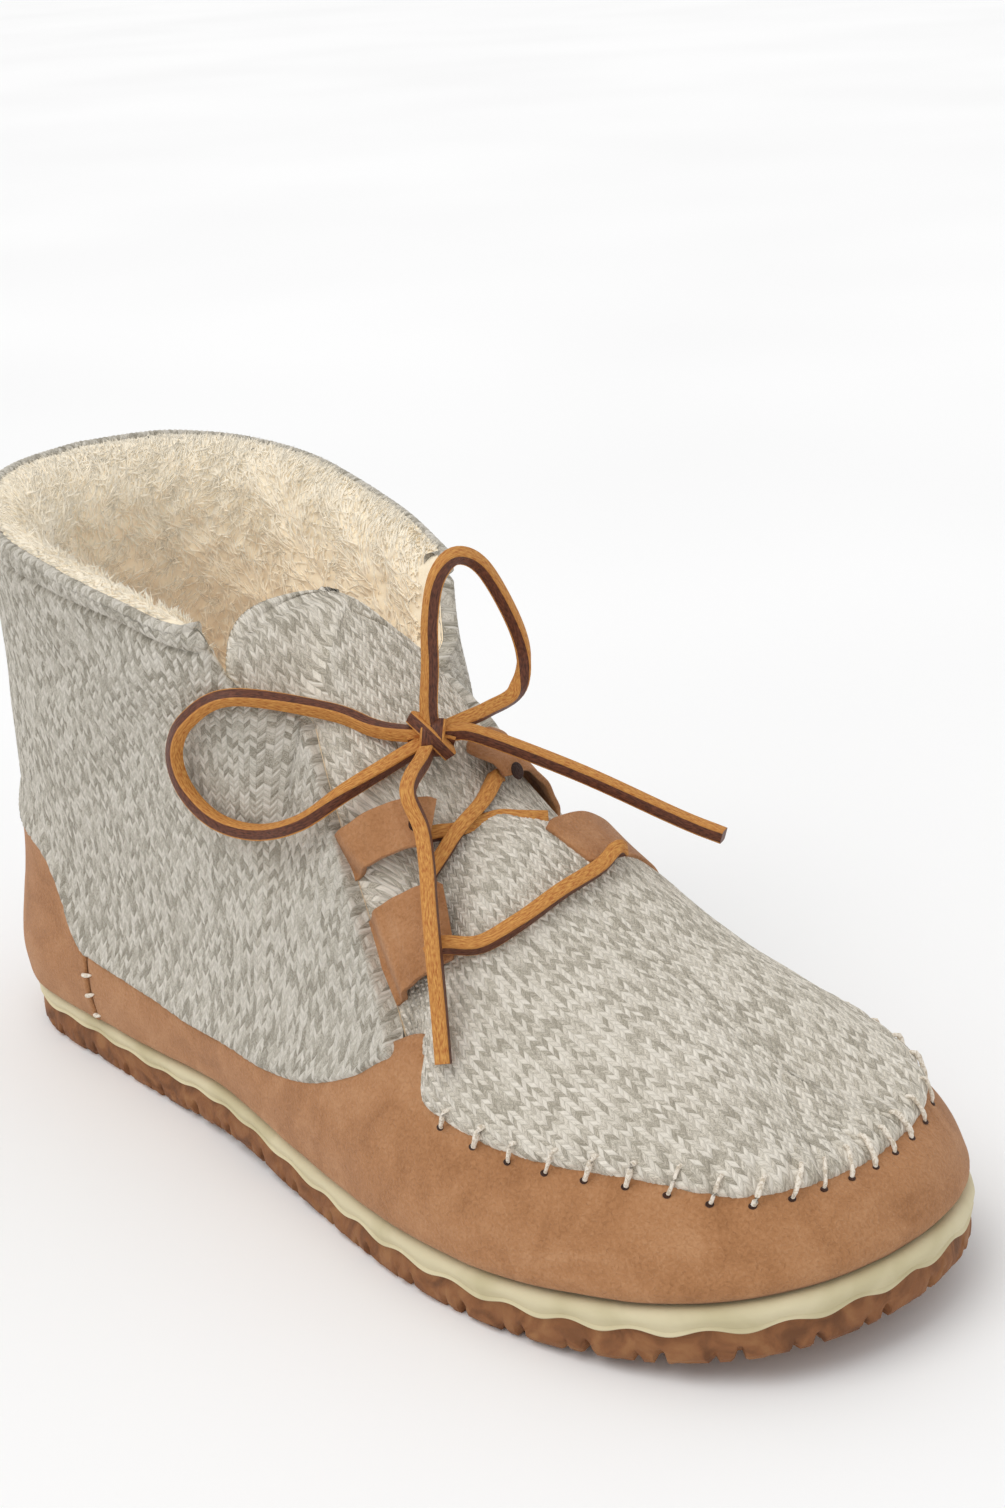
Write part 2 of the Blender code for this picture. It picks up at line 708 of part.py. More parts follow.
def tongue():
    """The knit tongue under the quarters, with a rounded top that stands over the throat."""
    out = np.linspace(-1, 1, TONGUE_COLUMNS)
    share, far = np.abs(out), out > 0
    turns = np.array(columns(RIDGE_TURN + 0.030, 0.70))[:, None] + 0 * share
    rises = 1 - (1 - through(TONGUE_SIDE, turns)) * share
    top_turns = through([(t.across, t.turn) for t in TONGUE_TOP], out)
    top_rises = through([(t.across, t.rise) for t in TONGUE_TOP], out)
    for part in (0.33, 0.67, 1.0):
        turns = np.concatenate([[turns[0] + (top_turns - turns[0]) * part], turns])
        rises = np.concatenate([[rises[0] + (top_rises - rises[0]) * part], rises])
    turns = np.where(far, 2 - turns, turns)
    stands = through([(t.across, t.stands) for t in TONGUE_TOP], out) * TONGUE_STANDS
    way = crest(RIDGE_TURN) - crest(RIDGE_TURN + 0.05)
    layers = []
    for lift in (-WALL - TONGUE_GAP, -WALL - TONGUE_GAP - TONGUE_THICKNESS):
        tucked = np.full(rises.shape, lift)
        tucked[:3] -= TONGUE_TUCK
        tucked[one_side(turns) > PLUG_TURN - 0.02] -= TONGUE_TUCK
        body = skin(turns, rises, tucked)
        body[0] += stands[:, None] * way / np.linalg.norm(way)
        layers.append(body)
    solid("tongue", "knit", *layers)


def bilinear(corners, along, across_share):
    """A place inside four corners: along from base to tip."""
    a, b, c, d = (np.array(v) for v in corners)
    base = a + (b - a) * across_share
    tip = d + (c - d) * across_share
    return base + (tip - base) * along


def tab_skin(corners, along, across_share, lift):
    """A point of an eye tab, which climbs from its base to its tip."""
    turn, rise = bilinear(corners, along, across_share)
    climb = TAB_LIFTS[0] + (TAB_LIFTS[1] - TAB_LIFTS[0]) * ramp(0.0, 0.55, along)
    return skin(turn, rise, climb + lift)


def eye_tab(tab):
    """One suede eye tab with its lace hole."""
    outer_side = tab.corners[0][0] < 1
    shares = np.linspace(0, 1, 4)
    order = shares if outer_side else shares[::-1]
    grids = []
    for lift in (SUEDE, 0.0):
        grids.append(np.array([[tab_skin(tab.corners, a, c, lift) for a in np.linspace(0, 1, 6)] for c in order]))
    flap = solid(f"eye_tab_{tab.name}", "suede", *grids)
    middle = tab_skin(tab.corners, *EYELET_PLACE, SUEDE / 2) + MIDDLE
    way = tab_skin(tab.corners, *EYELET_PLACE, SUEDE) + MIDDLE - middle
    bpy.ops.mesh.primitive_cylinder_add(vertices=12, radius=EYELET / 2, depth=SUEDE * 6, location=middle)
    punch = bpy.context.object
    punch.name = f"punch_{tab.name}"
    punch.rotation_mode = "QUATERNION"
    punch.rotation_quaternion = Vector(way).to_track_quat("Z", "Y")
    punch.hide_render = True
    punch.display_type = "WIRE"
    hole = flap.modifiers.new("eyelet", "BOOLEAN")
    hole.operation = "DIFFERENCE"
    hole.object = punch
    return flap


def bent(bends, step):
    """Points at even steps along a smooth line through bends."""
    knots = np.array(bends) / 1000
    ends = np.concatenate([2 * knots[:1] - knots[1:2], knots, 2 * knots[-1:] - knots[-2:-1]])
    fine = []
    for p, q, r, s in zip(ends, ends[1:], ends[2:], ends[3:], strict=False):
        for t in np.linspace(0, 1, 12, endpoint=False):
            slope_in, slope_out = (r - p) / 2, (s - q) / 2
            a, b = 2 * t**3 - 3 * t**2 + 1, 3 * t**2 - 2 * t**3
            fine.append(a * q + b * r + (t**3 - 2 * t**2 + t) * slope_in + (t**3 - t**2) * slope_out)
    fine = np.array([*fine, knots[-1]])
    arc = np.concatenate([[0], np.cumsum(np.linalg.norm(np.diff(fine, axis=0), axis=1))])
    even = np.linspace(0, arc[-1], max(3, round(arc[-1] / step)) + 1)
    return np.stack([np.interp(even, arc, fine[:, k]) for k in range(3)], 1)


def cord(name, bends, thickness, step):
    """A round length of lace."""
    points = bent(bends, step) + MIDDLE
    curve = bpy.data.curves.new(name, "CURVE")
    curve.dimensions = "3D"
    curve.bevel_depth = thickness / 2
    curve.bevel_resolution = 2
    curve.use_fill_caps = True
    line = curve.splines.new("POLY")
    line.points.add(len(points) - 1)
    for point, at in zip(line.points, points, strict=True):
        point.co = (*at, 1)
    line.use_smooth = True
    thing = bpy.data.objects.new(name, curve)
    bpy.context.collection.objects.link(thing)
    curve.materials.append(material(name, "leather"))
    return thing


def lacing():
    """The bar and the crossing over the throat, and the bow."""
    cord("lace_bar", LACE_BAR, LACE, CORD_STEP)
    over = cord("lace_crossing", LACE_OVER, LACE, CORD_STEP)
    under = cord("lace_crossing_under", LACE_UNDER, LACE, CORD_STEP)
    for thing in (over, under):
        bpy.ops.object.select_all(action="DESELECT")
        thing.select_set(True)
        bpy.context.view_layer.objects.active = thing
        bpy.ops.object.convert(target="MESH")
    under.hide_render = True
    under.display_type = "WIRE"
    join = over.modifiers.new("crossing", "BOOLEAN")
    join.operation = "UNION"
    join.object = under
    for name, bends in BOW.items():
        if name == "lace_knot":
            cord(name, bends, KNOT, LACE)
        else:
            cord(name, bends, LACE, CORD_STEP)


def main():
    """Clears the scene and builds every piece."""
    for thing in list(bpy.data.objects):
        bpy.data.objects.remove(thing)
    sole()
    upper()
    suede()
    plug()
    binding()
    tongue()
    for tab in TABS:
        eye_tab(tab)
    lacing()


main()
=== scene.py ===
"""Looks of the ankle boot with a moccasin toe: knit, suede, pile, lace and sole, in metres.

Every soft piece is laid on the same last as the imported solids. A point of the last has a
turn, which runs round the foot from the heel's back (0) by the outer side to the toe (1) and
back by the inner side (2), and a rise, from 0 at the sole to 1 at the crest.
"""

from __future__ import annotations

import logging
from collections.abc import Callable, Sequence
from dataclasses import dataclass, field
from enum import Enum

import bpy
import numpy as np
from mathutils import Matrix, Vector, noise


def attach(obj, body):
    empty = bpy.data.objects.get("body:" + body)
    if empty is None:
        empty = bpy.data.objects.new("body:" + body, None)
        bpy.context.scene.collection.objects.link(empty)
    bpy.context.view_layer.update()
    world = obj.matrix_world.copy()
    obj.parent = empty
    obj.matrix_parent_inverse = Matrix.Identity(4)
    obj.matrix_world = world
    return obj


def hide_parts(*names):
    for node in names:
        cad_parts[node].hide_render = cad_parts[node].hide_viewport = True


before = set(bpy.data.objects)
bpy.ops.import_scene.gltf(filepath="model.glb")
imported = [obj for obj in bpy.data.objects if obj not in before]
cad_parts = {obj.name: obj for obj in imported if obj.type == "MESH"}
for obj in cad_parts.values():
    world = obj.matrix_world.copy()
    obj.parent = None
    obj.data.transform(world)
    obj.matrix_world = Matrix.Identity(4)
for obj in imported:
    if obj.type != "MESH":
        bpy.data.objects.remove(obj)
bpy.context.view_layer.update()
LOG = logging.getLogger("boot")
MIDDLE = np.array((0.0009, 0.0002, 0.0))  # puts the last where the solids' box is centred
UPRIGHT = np.array((0.0, 0.0, 1.0))
NOISE_LAYERS = (0.9, 2.1, 2)  # how fast layers fade, how much finer each is, and how many there are
BODY = "root"

Array = np.ndarray
Value = np.ndarray | float
Piece = bpy.types.Object
Material = bpy.types.Material
Socket = bpy.types.NodeSocket


class Slot(Enum):
    """The record's material slots."""

    RUBBER = "rubber"
    FOAM = "midsole_foam"
    PILE = "pile"
    KNIT = "knit"
    SUEDE = "suede"
    LACE = "lace"


# ---------------------------------------------------------------- curves through tables


def ramp(low: float, high: float, value: Value) -> Array:
    """Eases from 0 below low to 1 above high.

    Args:
        low: Where the ramp starts.
        high: Where it ends.
        value: The values to ease.

    Returns:
        The eased shares.
    """
    k = np.clip((np.asarray(value, float) - low) / (high - low), 0, 1)
    return k * k * (3 - 2 * k)


def shoulder(away: Array, size: float) -> Array:
    """Rises from 0 to 1 over a size, as a quarter circle does."""
    return np.sqrt(np.clip(1 - (1 - np.clip(away / size, 0, 1)) ** 2, 0, 1))


def bell(value: Array, middle: float, width: float) -> Array:
    """Gives 1 at the middle and falls off to both sides over a width."""
    return np.exp(-(((value - middle) / width) ** 2))


def hermite(xs: Array, ys: Array, slopes: Array, i: Array, x: Array) -> Array:
    """Evaluates the cubic between rows i and i + 1.

    Args:
        xs: The rows' places.
        ys: The rows' values.
        slopes: The curve's slope at each row.
        i: The row before each x.
        x: Where to evaluate.

    Returns:
        The curve's values.
    """
    h = xs[i + 1] - xs[i]
    t = (x - xs[i]) / h
    value = (2 * t**3 - 3 * t**2 + 1) * ys[i] + (3 * t**2 - 2 * t**3) * ys[i + 1]
    return value + h * ((t**3 - 2 * t**2 + t) * slopes[i] + (t**3 - t**2) * slopes[i + 1])


def through(rows: Sequence[Sequence[float]], x: Value) -> Array:
    """Evaluates a smooth curve through (x, y) rows that stays between neighbouring rows.

    Args:
        rows: The (x, y) rows, in order of x.
        x: Where to evaluate.

    Returns:
        The curve's values.
    """
    xs, ys = np.array(rows, float).T
    x = np.clip(np.asarray(x, float), xs[0], xs[-1])
    width, slope = np.diff(xs), np.diff(ys) / np.diff(xs)
    same_way = slope[:-1] * slope[1:] > 0
    left = np.where(same_way, slope[:-1], 1.0)
    right = np.where(same_way, slope[1:], 1.0)
    whole = 3 * (width[:-1] + width[1:])
    mean = whole / ((2 * width[1:] + width[:-1]) / left + (width[1:] + 2 * width[:-1]) / right)
    slopes = np.concatenate([slope[:1], np.where(same_way, mean, 0.0), slope[-1:]])
    return hermite(xs, ys, slopes, np.clip(np.searchsorted(xs, x) - 1, 0, len(xs) - 2), x)


def around(rows: Sequence[Sequence[float]], turn: Value) -> Array:
    """Evaluates a smooth closed curve through (turn, y) rows, with a period of 2.

    Args:
        rows: The (turn, y) rows.
        turn: Where to evaluate.

    Returns:
        The curve's values.
    """
    xs, ys = np.array(rows, float).T
    xs = np.concatenate([xs[-2:] - 2, xs, xs[:2] + 2])
    ys = np.concatenate([ys[-2:], ys, ys[:2]])
    inner = (ys[2:] - ys[:-2]) / (xs[2:] - xs[:-2])
    slopes = np.concatenate([inner[:1], inner, inner[-1:]])
    turn = np.mod(np.asarray(turn, float), 2)
    row = np.clip(np.searchsorted(xs, turn, side="right") - 1, 1, len(xs) - 3)
    return hermite(xs, ys, slopes, row, turn)


def one_side(turn: Value) -> Array:
    """Gives the turn of the same place on the outer side, from 0 to 1."""
    turn = np.mod(np.asarray(turn, float), 2)
    return np.where(turn > 1, 2 - turn, turn)


def unit(way: Array) -> Array:
    """Scales vectors to length 1."""
    return way / np.maximum(np.linalg.norm(way, axis=-1, keepdims=True), 1e-12)


def lengths(points: Array, axis: int) -> Array:
    """Measures along one axis of a grid of points.

    Args:
        points: A grid of points.
        axis: The grid's axis to go along.

    Returns:
        The length from the first point of each line to every point.
    """
    steps = np.linalg.norm(np.diff(points, axis=axis), axis=-1)
    start = np.zeros_like(np.take(steps, [0], axis=axis))
    return np.concatenate([start, np.cumsum(steps, axis=axis)], axis=axis)


def rough(points: Array, size: float) -> Array:
    """Reads smooth noise at points.

    Args:
        points: The points, in metres.
        size: The size of a bump, in metres.

    Returns:
        Values of about -1 to 1, in the shape of the points.
    """
    flat = (points.reshape(-1, 3) / size).tolist()
    read = [noise.fractal(p, *NOISE_LAYERS) for p in flat]
    return np.array(read).reshape(points.shape[:-1])


# ------------------------------------------------------------------------------- the last


@dataclass(frozen=True)
class Crease:
    """A soft trough in the upper between two places of the last.

    Attributes:
        start: Turn and rise of one end.
        end: Turn and rise of the other end.
        depth: How deep it is, or how high when negative, in metres.
        width: Its half width, in metres.
    """

    start: tuple[float, float]
    end: tuple[float, float]
    depth: float
    width: float


@dataclass(frozen=True)
class Last:
    """The boot's last: the same sizes and tables as the solids have."""

    sole_length: float = 0.265
    ball_width: float = 0.098
    heel_width: float = 0.070
    back_height: float = 0.139
    outsole: float = 0.0070
    midsole: float = 0.0050
    toe_spring: float = 0.0080
    heel_spring: float = 0.0012
    arch_rise: float = 0.0020
    toe_lean: float = 0.0054
    sole_lip: float = 0.0026
    heel_swell: float = 0.0035
    side_swell: float = 0.0040
    swell_height: float = 0.0400
    gap: float = 0.0003
    ridge_turn: float = 0.500
    ridge_slope: float = 0.52
    collar_calm: float = 0.80
    mudguard_height: float = 0.0250
    counter_height: float = 0.0560
    counter_turn: float = 0.300
    widening: tuple = (0.42, 0.52)
    toe_lowers: tuple = (0.80, 0.94)
    level_below: float = 0.08
    # turn, outer and inner share of the half width
    outline: tuple = (
        (0.10, 0.55, 0.55), (0.20, 0.94, 0.93), (0.30, 1.00, 0.96), (0.42, 1.07, 0.90), (0.52, 0.88, 0.76),
        (0.62, 0.985, 0.93), (0.72, 0.915, 0.995), (0.82, 0.70, 0.89), (0.91, 0.37, 0.575),
    )
    # along, and shares of the heel spring, arch rise and toe spring
    underside: tuple = (
        (0.00, 1, 0, 0), (0.06, 0, 0, 0), (0.27, 0, 0, 0), (0.42, 0, 1, 0),
        (0.57, 0, 0, 0), (0.74, 0, 0, 0), (0.88, 0, 0, 0.36), (1.00, 0, 0, 1),
    )
    # turn, share of the length, of the ball's half width, and of the back's height
    crests: tuple = (
        (0.00, 0.058, 0.00, 1.000), (0.10, 0.070, 0.39, 0.996), (0.20, 0.120, 0.745, 0.978),
        (0.30, 0.208, 0.915, 0.942), (0.40, 0.332, 0.86, 0.890), (0.45, 0.404, 0.73, 0.860),
        (0.48, 0.430, 0.43, 0.865), (0.50, 0.442, 0.00, 0.868), (0.55, 0.505, 0.00, 0.755),
        (0.60, 0.577, 0.00, 0.632), (0.65, 0.652, 0.00, 0.523), (0.70, 0.718, 0.00, 0.452),
        (0.78, 0.797, 0.00, 0.381), (0.86, 0.843, 0.00, 0.333), (0.93, 0.864, 0.00, 0.310),
        (1.00, 0.872, 0.00, 0.302),
    )
    # turn, roundness, and shares of the heel's and the side's swell
    sections: tuple = (
        (0.00, 1.15, 1.0, 0), (0.15, 1.15, 1.0, 0), (0.30, 1.20, 0.3, 0.6), (0.42, 1.55, 0, 0.75),
        (0.50, 1.85, 0, 0.8), (0.60, 1.72, 0, 0.8), (0.75, 1.86, 0, 0.5), (0.88, 2.08, 0, 0.15),
        (1.00, 2.00, 0, 0),
    )
    # the quarters' front edge: turn and rise
    front: tuple = (
        (0.452, 1.00), (0.459, 0.85), (0.466, 0.75), (0.476, 0.69), (0.539, 0.515), (0.573, 0.431),
        (0.599, 0.353), (0.613, 0.300),
    )
    # the suede's upper edge: turn and share of its height over the sole
    mudguard_line: tuple = (
        (0.300, 0.69), (0.334, 0.67), (0.377, 0.60), (0.428, 0.51), (0.474, 0.55), (0.531, 0.73),
        (0.575, 1.02), (0.596, 1.23), (0.618, 1.36), (0.630, 1.22), (0.655, 1.12), (0.700, 1.02),
        (0.775, 0.92), (0.868, 0.72), (1.000, 0.65),
    )
    counter_line: tuple = (
        (0.000, 1.00), (0.080, 0.98), (0.150, 0.83), (0.200, 0.75), (0.240, 0.70), (0.262, 0.58),
        (0.279, 0.42), (0.290, 0.335), (0.300, 0.300),
    )
    tongue_side: tuple = ((0.500, 0.50), (0.550, 0.42), (0.600, 0.34), (0.650, 0.38), (0.700, 0.46))
    # share across the tongue's top, turn, rise, and share of the height that stands over the throat
    tongue_top: tuple = (
        (-1.00, 0.465, 0.68, 0), (-0.85, 0.467, 0.84, 0), (-0.70, 0.473, 0.95, 0.3),
        (-0.50, 0.484, 0.99, 0.8), (-0.25, 0.490, 1.00, 1.0), (0.00, 0.500, 1.00, 0.7),
        (0.30, 0.510, 0.90, 0.3), (0.60, 0.512, 0.72, 0.1), (1.00, 0.512, 0.52, 0),
    )
    tongue_stands: float = 0.0050

    def half_width(self, turn: Value) -> Array:
        """Gives the half width that the outline's shares are of."""
        share = ramp(*self.widening, turn)
        return 0.5 * (self.heel_width * (1 - share) + self.ball_width * share)

    def edge(self, turn: Value) -> Array:
        """Gives the sole's edge from above.

        Args:
            turn: Where round the foot.

        Returns:
            Points (x, y).
        """
        turn = np.asarray(turn, float)
        outer = [(t, -o * self.half_width(t)) for t, o, _ in self.outline]
        inner = [(2 - t, i * self.half_width(t)) for t, _, i in reversed(self.outline)]
        rows = [(0.0, 0.0), *outer, (1.0, self.toe_lean), *inner]
        return np.stack([-0.5 * self.sole_length * np.cos(np.pi * turn), around(rows, turn)], -1)

    def outward(self, turn: Value) -> Array:
        """Gives the way out of the sole's edge, from above.

        Args:
            turn: Where round the foot.

        Returns:
            Unit vectors (x, y).
        """
        turn = np.asarray(turn, float)
        along = self.edge(turn + 1e-4) - self.edge(turn - 1e-4)
        return unit(np.stack([along[..., 1], -along[..., 0]], -1))

    def ground(self, x: Array) -> Array:
        """Gives how far the sole's underside is from the floor."""
        rows = [
            (a, h * self.heel_spring + r * self.arch_rise + t * self.toe_spring)
            for a, h, r, t in self.underside
        ]
        return through(rows, x / self.sole_length + 0.5)

    def sole_top(self, x: Array) -> Array:
        """Gives the height of the midsole's top."""
        return self.ground(x) + self.outsole + self.midsole

    def feather(self, turn: Array) -> Array:
        """Gives where the upper meets the sole.

        Args:
            turn: Where round the foot.

        Returns:
            Points in metres, before they are centred.
        """
        at = self.edge(turn)
        inside = at - self.outward(turn) * self.sole_lip
        return np.concatenate([inside, (self.sole_top(at[..., 0]) + self.gap)[..., None]], -1)

    def crest(self, turn: Value) -> Array:
        """Gives the top line: the collar, then the ridge of the instep and toe.

        Args:
            turn: Where round the foot.

        Returns:
            Points in metres, before they are centred.
        """
        turn = np.asarray(turn, float)
        at = one_side(turn)
        side = np.where(np.mod(turn, 2) > 1, 0.5, -0.5)
        rows = np.array(self.crests)
        x = (through(rows[:, [0, 1]], at) - 0.5) * self.sole_length
        y = through(rows[:, [0, 2]], at) * self.ball_width * side
        z = through(rows[:, [0, 3]], at) * self.back_height
        return np.stack([x, y + self.toe_lean * ramp(self.ridge_turn, 1.0, at), z], -1)

    def roundness(self, turn: Array) -> Array:
        """Gives how round the section is at a turn."""
        return through([(s[0], s[1]) for s in self.sections], one_side(turn))

    def surface(self, turn: Array, rise: Array) -> Array:
        """Gives points of the last's surface.

        Args:
            turn: Where round the foot.
            rise: How far up, from 0 to 1.

        Returns:
            Points in metres, before they are centred.
        """
        turn, rise = np.broadcast_arrays(np.asarray(turn, float), np.asarray(rise, float))
        low, high, power = self.feather(turn), self.crest(turn), 2 / self.roundness(turn)
        up = np.sin(rise * np.pi / 2) ** power
        across = 1 - np.abs(np.cos(rise * np.pi / 2)) ** power
        swells = [(s[0], s[2] * self.heel_swell + s[3] * self.side_swell) for s in self.sections]
        z = low[..., 2] + (high[..., 2] - low[..., 2]) * up
        swollen = np.minimum(self.swell_height, high[..., 2] - low[..., 2])
        share = np.clip((z - low[..., 2]) / swollen, 0, 1)
        swell = through(swells, one_side(turn)) * np.maximum(np.sin(np.pi * np.sqrt(share)), 0) ** 1.5
        plan = low[..., :2] + (high[..., :2] - low[..., :2]) * across[..., None]
        plan = plan + self.outward(turn) * swell[..., None]
        lean = self.ridge_slope * ramp(*self.toe_lowers, one_side(turn)) * np.sin(rise * np.pi / 2) ** 4
        z = z - lean * np.maximum(plan[..., 0] - high[..., 0], 0)
        return np.concatenate([plan, z[..., None]], -1)

    def rise_at(self, turn: Array, z: Array) -> Array:
        """Gives the rise at which the last reaches a height.

        Args:
            turn: Where round the foot.
            z: The heights, in metres.

        Returns:
            The rises.
        """
        low, high = self.feather(turn)[..., 2], self.crest(turn)[..., 2]
        share = np.clip((z - low) / (high - low), 0, 1)
        return np.arcsin(share ** (self.roundness(turn) / 2)) / (np.pi / 2)

    def normal(self, turn: Array, rise: Array) -> Array:
        """Gives the way out of the last, level at the sole and upright on the ridge.

        Args:
            turn: Where round the foot.
            rise: How far up.

        Returns:
            Unit vectors.
        """
        turn, rise = np.broadcast_arrays(np.asarray(turn, float), np.asarray(rise, float))
        rise = np.where(one_side(turn) < self.ridge_turn, np.minimum(rise, self.collar_calm), rise)
        step = 1e-3
        low, high = np.clip(rise - step, 0, 1), np.clip(rise + step, 0, 1)
        around_foot = self.surface(turn + step, rise) - self.surface(turn - step, rise)
        way = np.cross(around_foot, self.surface(turn, high) - self.surface(turn, low))
        way[..., 2] *= ramp(0.0, self.level_below, rise)
        ahead = np.minimum(one_side(turn) + step, 1.0)
        along = self.crest(ahead) - self.crest(ahead - 2 * step)
        ridge = np.stack([-along[..., 2], np.zeros(turn.shape), along[..., 0]], -1)
        on_ridge = (rise > 0.9999) & (one_side(turn) >= self.ridge_turn)
        return unit(np.where(on_ridge[..., None], ridge, way))

    def skin(self, turn: Array, rise: Array, lift: Value) -> Array:
        """Gives points at a height over the last, centred as the solids are.

        Args:
            turn: Where round the foot.
            rise: How far up.
            lift: How far out, in metres.

        Returns:
            Points in metres.
        """
        turn, rise, lift = np.broadcast_arrays(turn, rise, lift)
        return self.surface(turn, rise) + self.normal(turn, rise) * lift[..., None] + MIDDLE

    def line(self, rows: Sequence[Sequence[float]], height: float, turn: Array) -> Array:
        """Gives the rise of an edge that is given by heights over the sole.

        Args:
            rows: Turn and share of the height.
            height: The height that the shares are of, in metres.
            turn: Where round the foot.

        Returns:
            The rises.
        """
        z = self.sole_top(self.edge(turn)[..., 0]) + height * through(rows, one_side(turn))
        return self.rise_at(turn, z)

    def suede_edge(self, turn: Array) -> Array:
        """Gives the rise of the suede's upper edge, counter and mudguard alike.

        Args:
            turn: Where round the foot.

        Returns:
            The rises.
        """
        front = self.line(self.mudguard_line, self.mudguard_height, turn)
        back = self.line(self.counter_line, self.counter_height, turn)
        return np.where(one_side(turn) < self.counter_turn, back, front)

    def arc_to(self, turn: Value) -> Array:
        """Gives the length of the sole's edge from the heel's back.

        Args:
            turn: Where round the foot.

        Returns:
            Lengths in metres.
        """
        fine = np.linspace(-2, 2, 4001)
        steps = np.linalg.norm(np.diff(self.edge(fine), axis=0), axis=1)
        arc = np.concatenate([[0], np.cumsum(steps)])
        return np.interp(turn, fine, arc - np.interp(0.0, fine, arc))

    def dents(self, points: Array) -> Array:
        """Gives how far the creases press points in.

        Args:
            points: The points, in metres.

        Returns:
            Depths in metres.
        """
        depth = np.zeros(points.shape[:-1])
        for crease in CREASES:
            a, b = (self.skin(np.array(t), np.array(r), 0.0) for t, r in (crease.start, crease.end))
            share = np.clip(((points - a) @ (b - a)) / ((b - a) @ (b - a)), 0, 1)
            away = np.linalg.norm(points - a - share[..., None] * (b - a), axis=-1)
            fading = np.sin(np.pi * (0.15 + 0.7 * share))
            depth += crease.depth * bell(away, 0.0, crease.width) * fading
        return depth


LAST = Last()
CREASES = (
    Crease((0.42, 0.95), (0.30, 0.62), 0.0016, 0.0070),
    Crease((0.44, 0.72), (0.34, 0.45), 0.0012, 0.0075),
    Crease((0.52, 0.47), (0.43, 0.30), 0.0010, 0.0060),
    Crease((0.24, 0.90), (0.16, 0.55), 0.0009, 0.0090),
    Crease((1.58, 0.93), (1.70, 0.60), 0.0014, 0.0080),
    Crease((1.55, 0.66), (1.66, 0.42), 0.0012, 0.0070),
    Crease((1.82, 0.85), (1.90, 0.50), 0.0009, 0.0100),
    Crease((0.66, 0.62), (0.70, 0.98), 0.0009, 0.0060),
    Crease((1.30, 0.66), (1.27, 0.96), 0.0009, 0.0060),
    Crease((0.74, 0.60), (0.78, 0.95), -0.0007, 0.0080),
)


# ------------------------------------------------------------------------- making meshes


def only(*things: Piece) -> None:
    """Selects these objects alone, the first of them active."""
    bpy.ops.object.select_all(action="DESELECT")
    for thing in things:
        thing.select_set(True)
    bpy.context.view_layer.objects.active = things[0]


def modified(piece: Piece, kind: str, **values: object) -> None:
    """Adds a modifier and applies it.

    Args:
        piece: The piece.
        kind: The modifier's type.
        **values: Its settings.
    """
    only(piece)
    step = piece.modifiers.new(kind.title(), kind)
    for name, value in values.items():
        setattr(step, name, value)
    bpy.ops.object.modifier_apply(modifier=step.name)


def merged(piece: Piece, distance: float = 1e-5) -> None:
    """Merges points that lie together.

    Args:
        piece: The piece.
        distance: The farthest that merged points lie apart.
    """
    only(piece)
    bpy.ops.object.mode_set(mode="EDIT")
    bpy.ops.mesh.select_all(action="SELECT")
    bpy.ops.mesh.remove_doubles(threshold=distance)
    bpy.ops.object.mode_set(mode="OBJECT")


def laid(name: str, points: Array, uv: Array | None = None) -> Piece:
    """Lays Blender's own grid over a grid of points.

    Args:
        name: The piece's name.
        points: The points, [column][row], in metres. Columns times rows faces outwards.
        uv: The map's coordinates at the points.

    Returns:
        The new piece.
    """
    columns, rows = points.shape[:2]
    bpy.ops.object.select_all(action="DESELECT")
    bpy.ops.mesh.primitive_grid_add(x_subdivisions=columns - 1, y_subdivisions=rows - 1, size=2)
    piece = bpy.context.object
    piece.name = piece.data.name = name
    mesh = piece.data
    flat = np.empty(len(mesh.vertices) * 3, np.float32)
    mesh.vertices.foreach_get("co", flat)
    share = (flat.reshape(-1, 3)[:, :2] + 1) / 2
    i = np.rint(share[:, 0] * (columns - 1)).astype(int)
    j = np.rint(share[:, 1] * (rows - 1)).astype(int)
    mesh.vertices.foreach_set("co", points[i, j].astype(np.float32).ravel())
    if uv is not None:
        corner = np.empty(len(mesh.loops), np.int32)
        mesh.loops.foreach_get("vertex_index", corner)
        mesh.uv_layers.active.data.foreach_set("uv", uv[i, j][corner].astype(np.float32).ravel())
    mesh.update()
    bpy.ops.object.shade_smooth()
    return piece


def many(name: str, seed: Piece, placed: Sequence[Array]) -> Piece:
    """Repeats one small shape as a single joined mesh.

    Args:
        name: The piece's name.
        seed: The shape that is repeated. It is removed.
        placed: The points of each copy, in the seed's own order.

    Returns:
        The new piece.
    """
    faces = [list(f.vertices) for f in seed.data.polygons]
    count = len(seed.data.vertices)
    points = np.concatenate(placed)
    every = [[v + n * count for v in face] for n in range(len(placed)) for face in faces]
    mesh = bpy.data.meshes.new(name)
    mesh.from_pydata(points.tolist(), [], every)
    mesh.shade_smooth()
    bpy.data.objects.remove(seed)
    piece = bpy.data.objects.new(name, mesh)
    bpy.context.collection.objects.link(piece)
    return piece


def seed_points(seed: Piece) -> Array:
    """Reads the points of a small shape."""
    return np.array([v.co for v in seed.data.vertices])


def joined(name: str, pieces: Sequence[Piece]) -> Piece:
    """Joins pieces into one.

    Args:
        name: The name of the result.
        pieces: The pieces, of which the first stays.

    Returns:
        The joined piece.
    """
    only(*pieces)
    bpy.ops.object.join()
    pieces[0].name = pieces[0].data.name = name
    return pieces[0]


def ball(segments: int, rings: int) -> Piece:
    """Makes a ball of radius 1 to shape or repeat.

    Args:
        segments: How many faces it has round.
        rings: How many rings of faces it has.

    Returns:
        The new piece.
    """
    bpy.ops.object.select_all(action="DESELECT")
    bpy.ops.mesh.primitive_uv_sphere_add(segments=segments, ring_count=rings, radius=1.0)
    return bpy.context.object


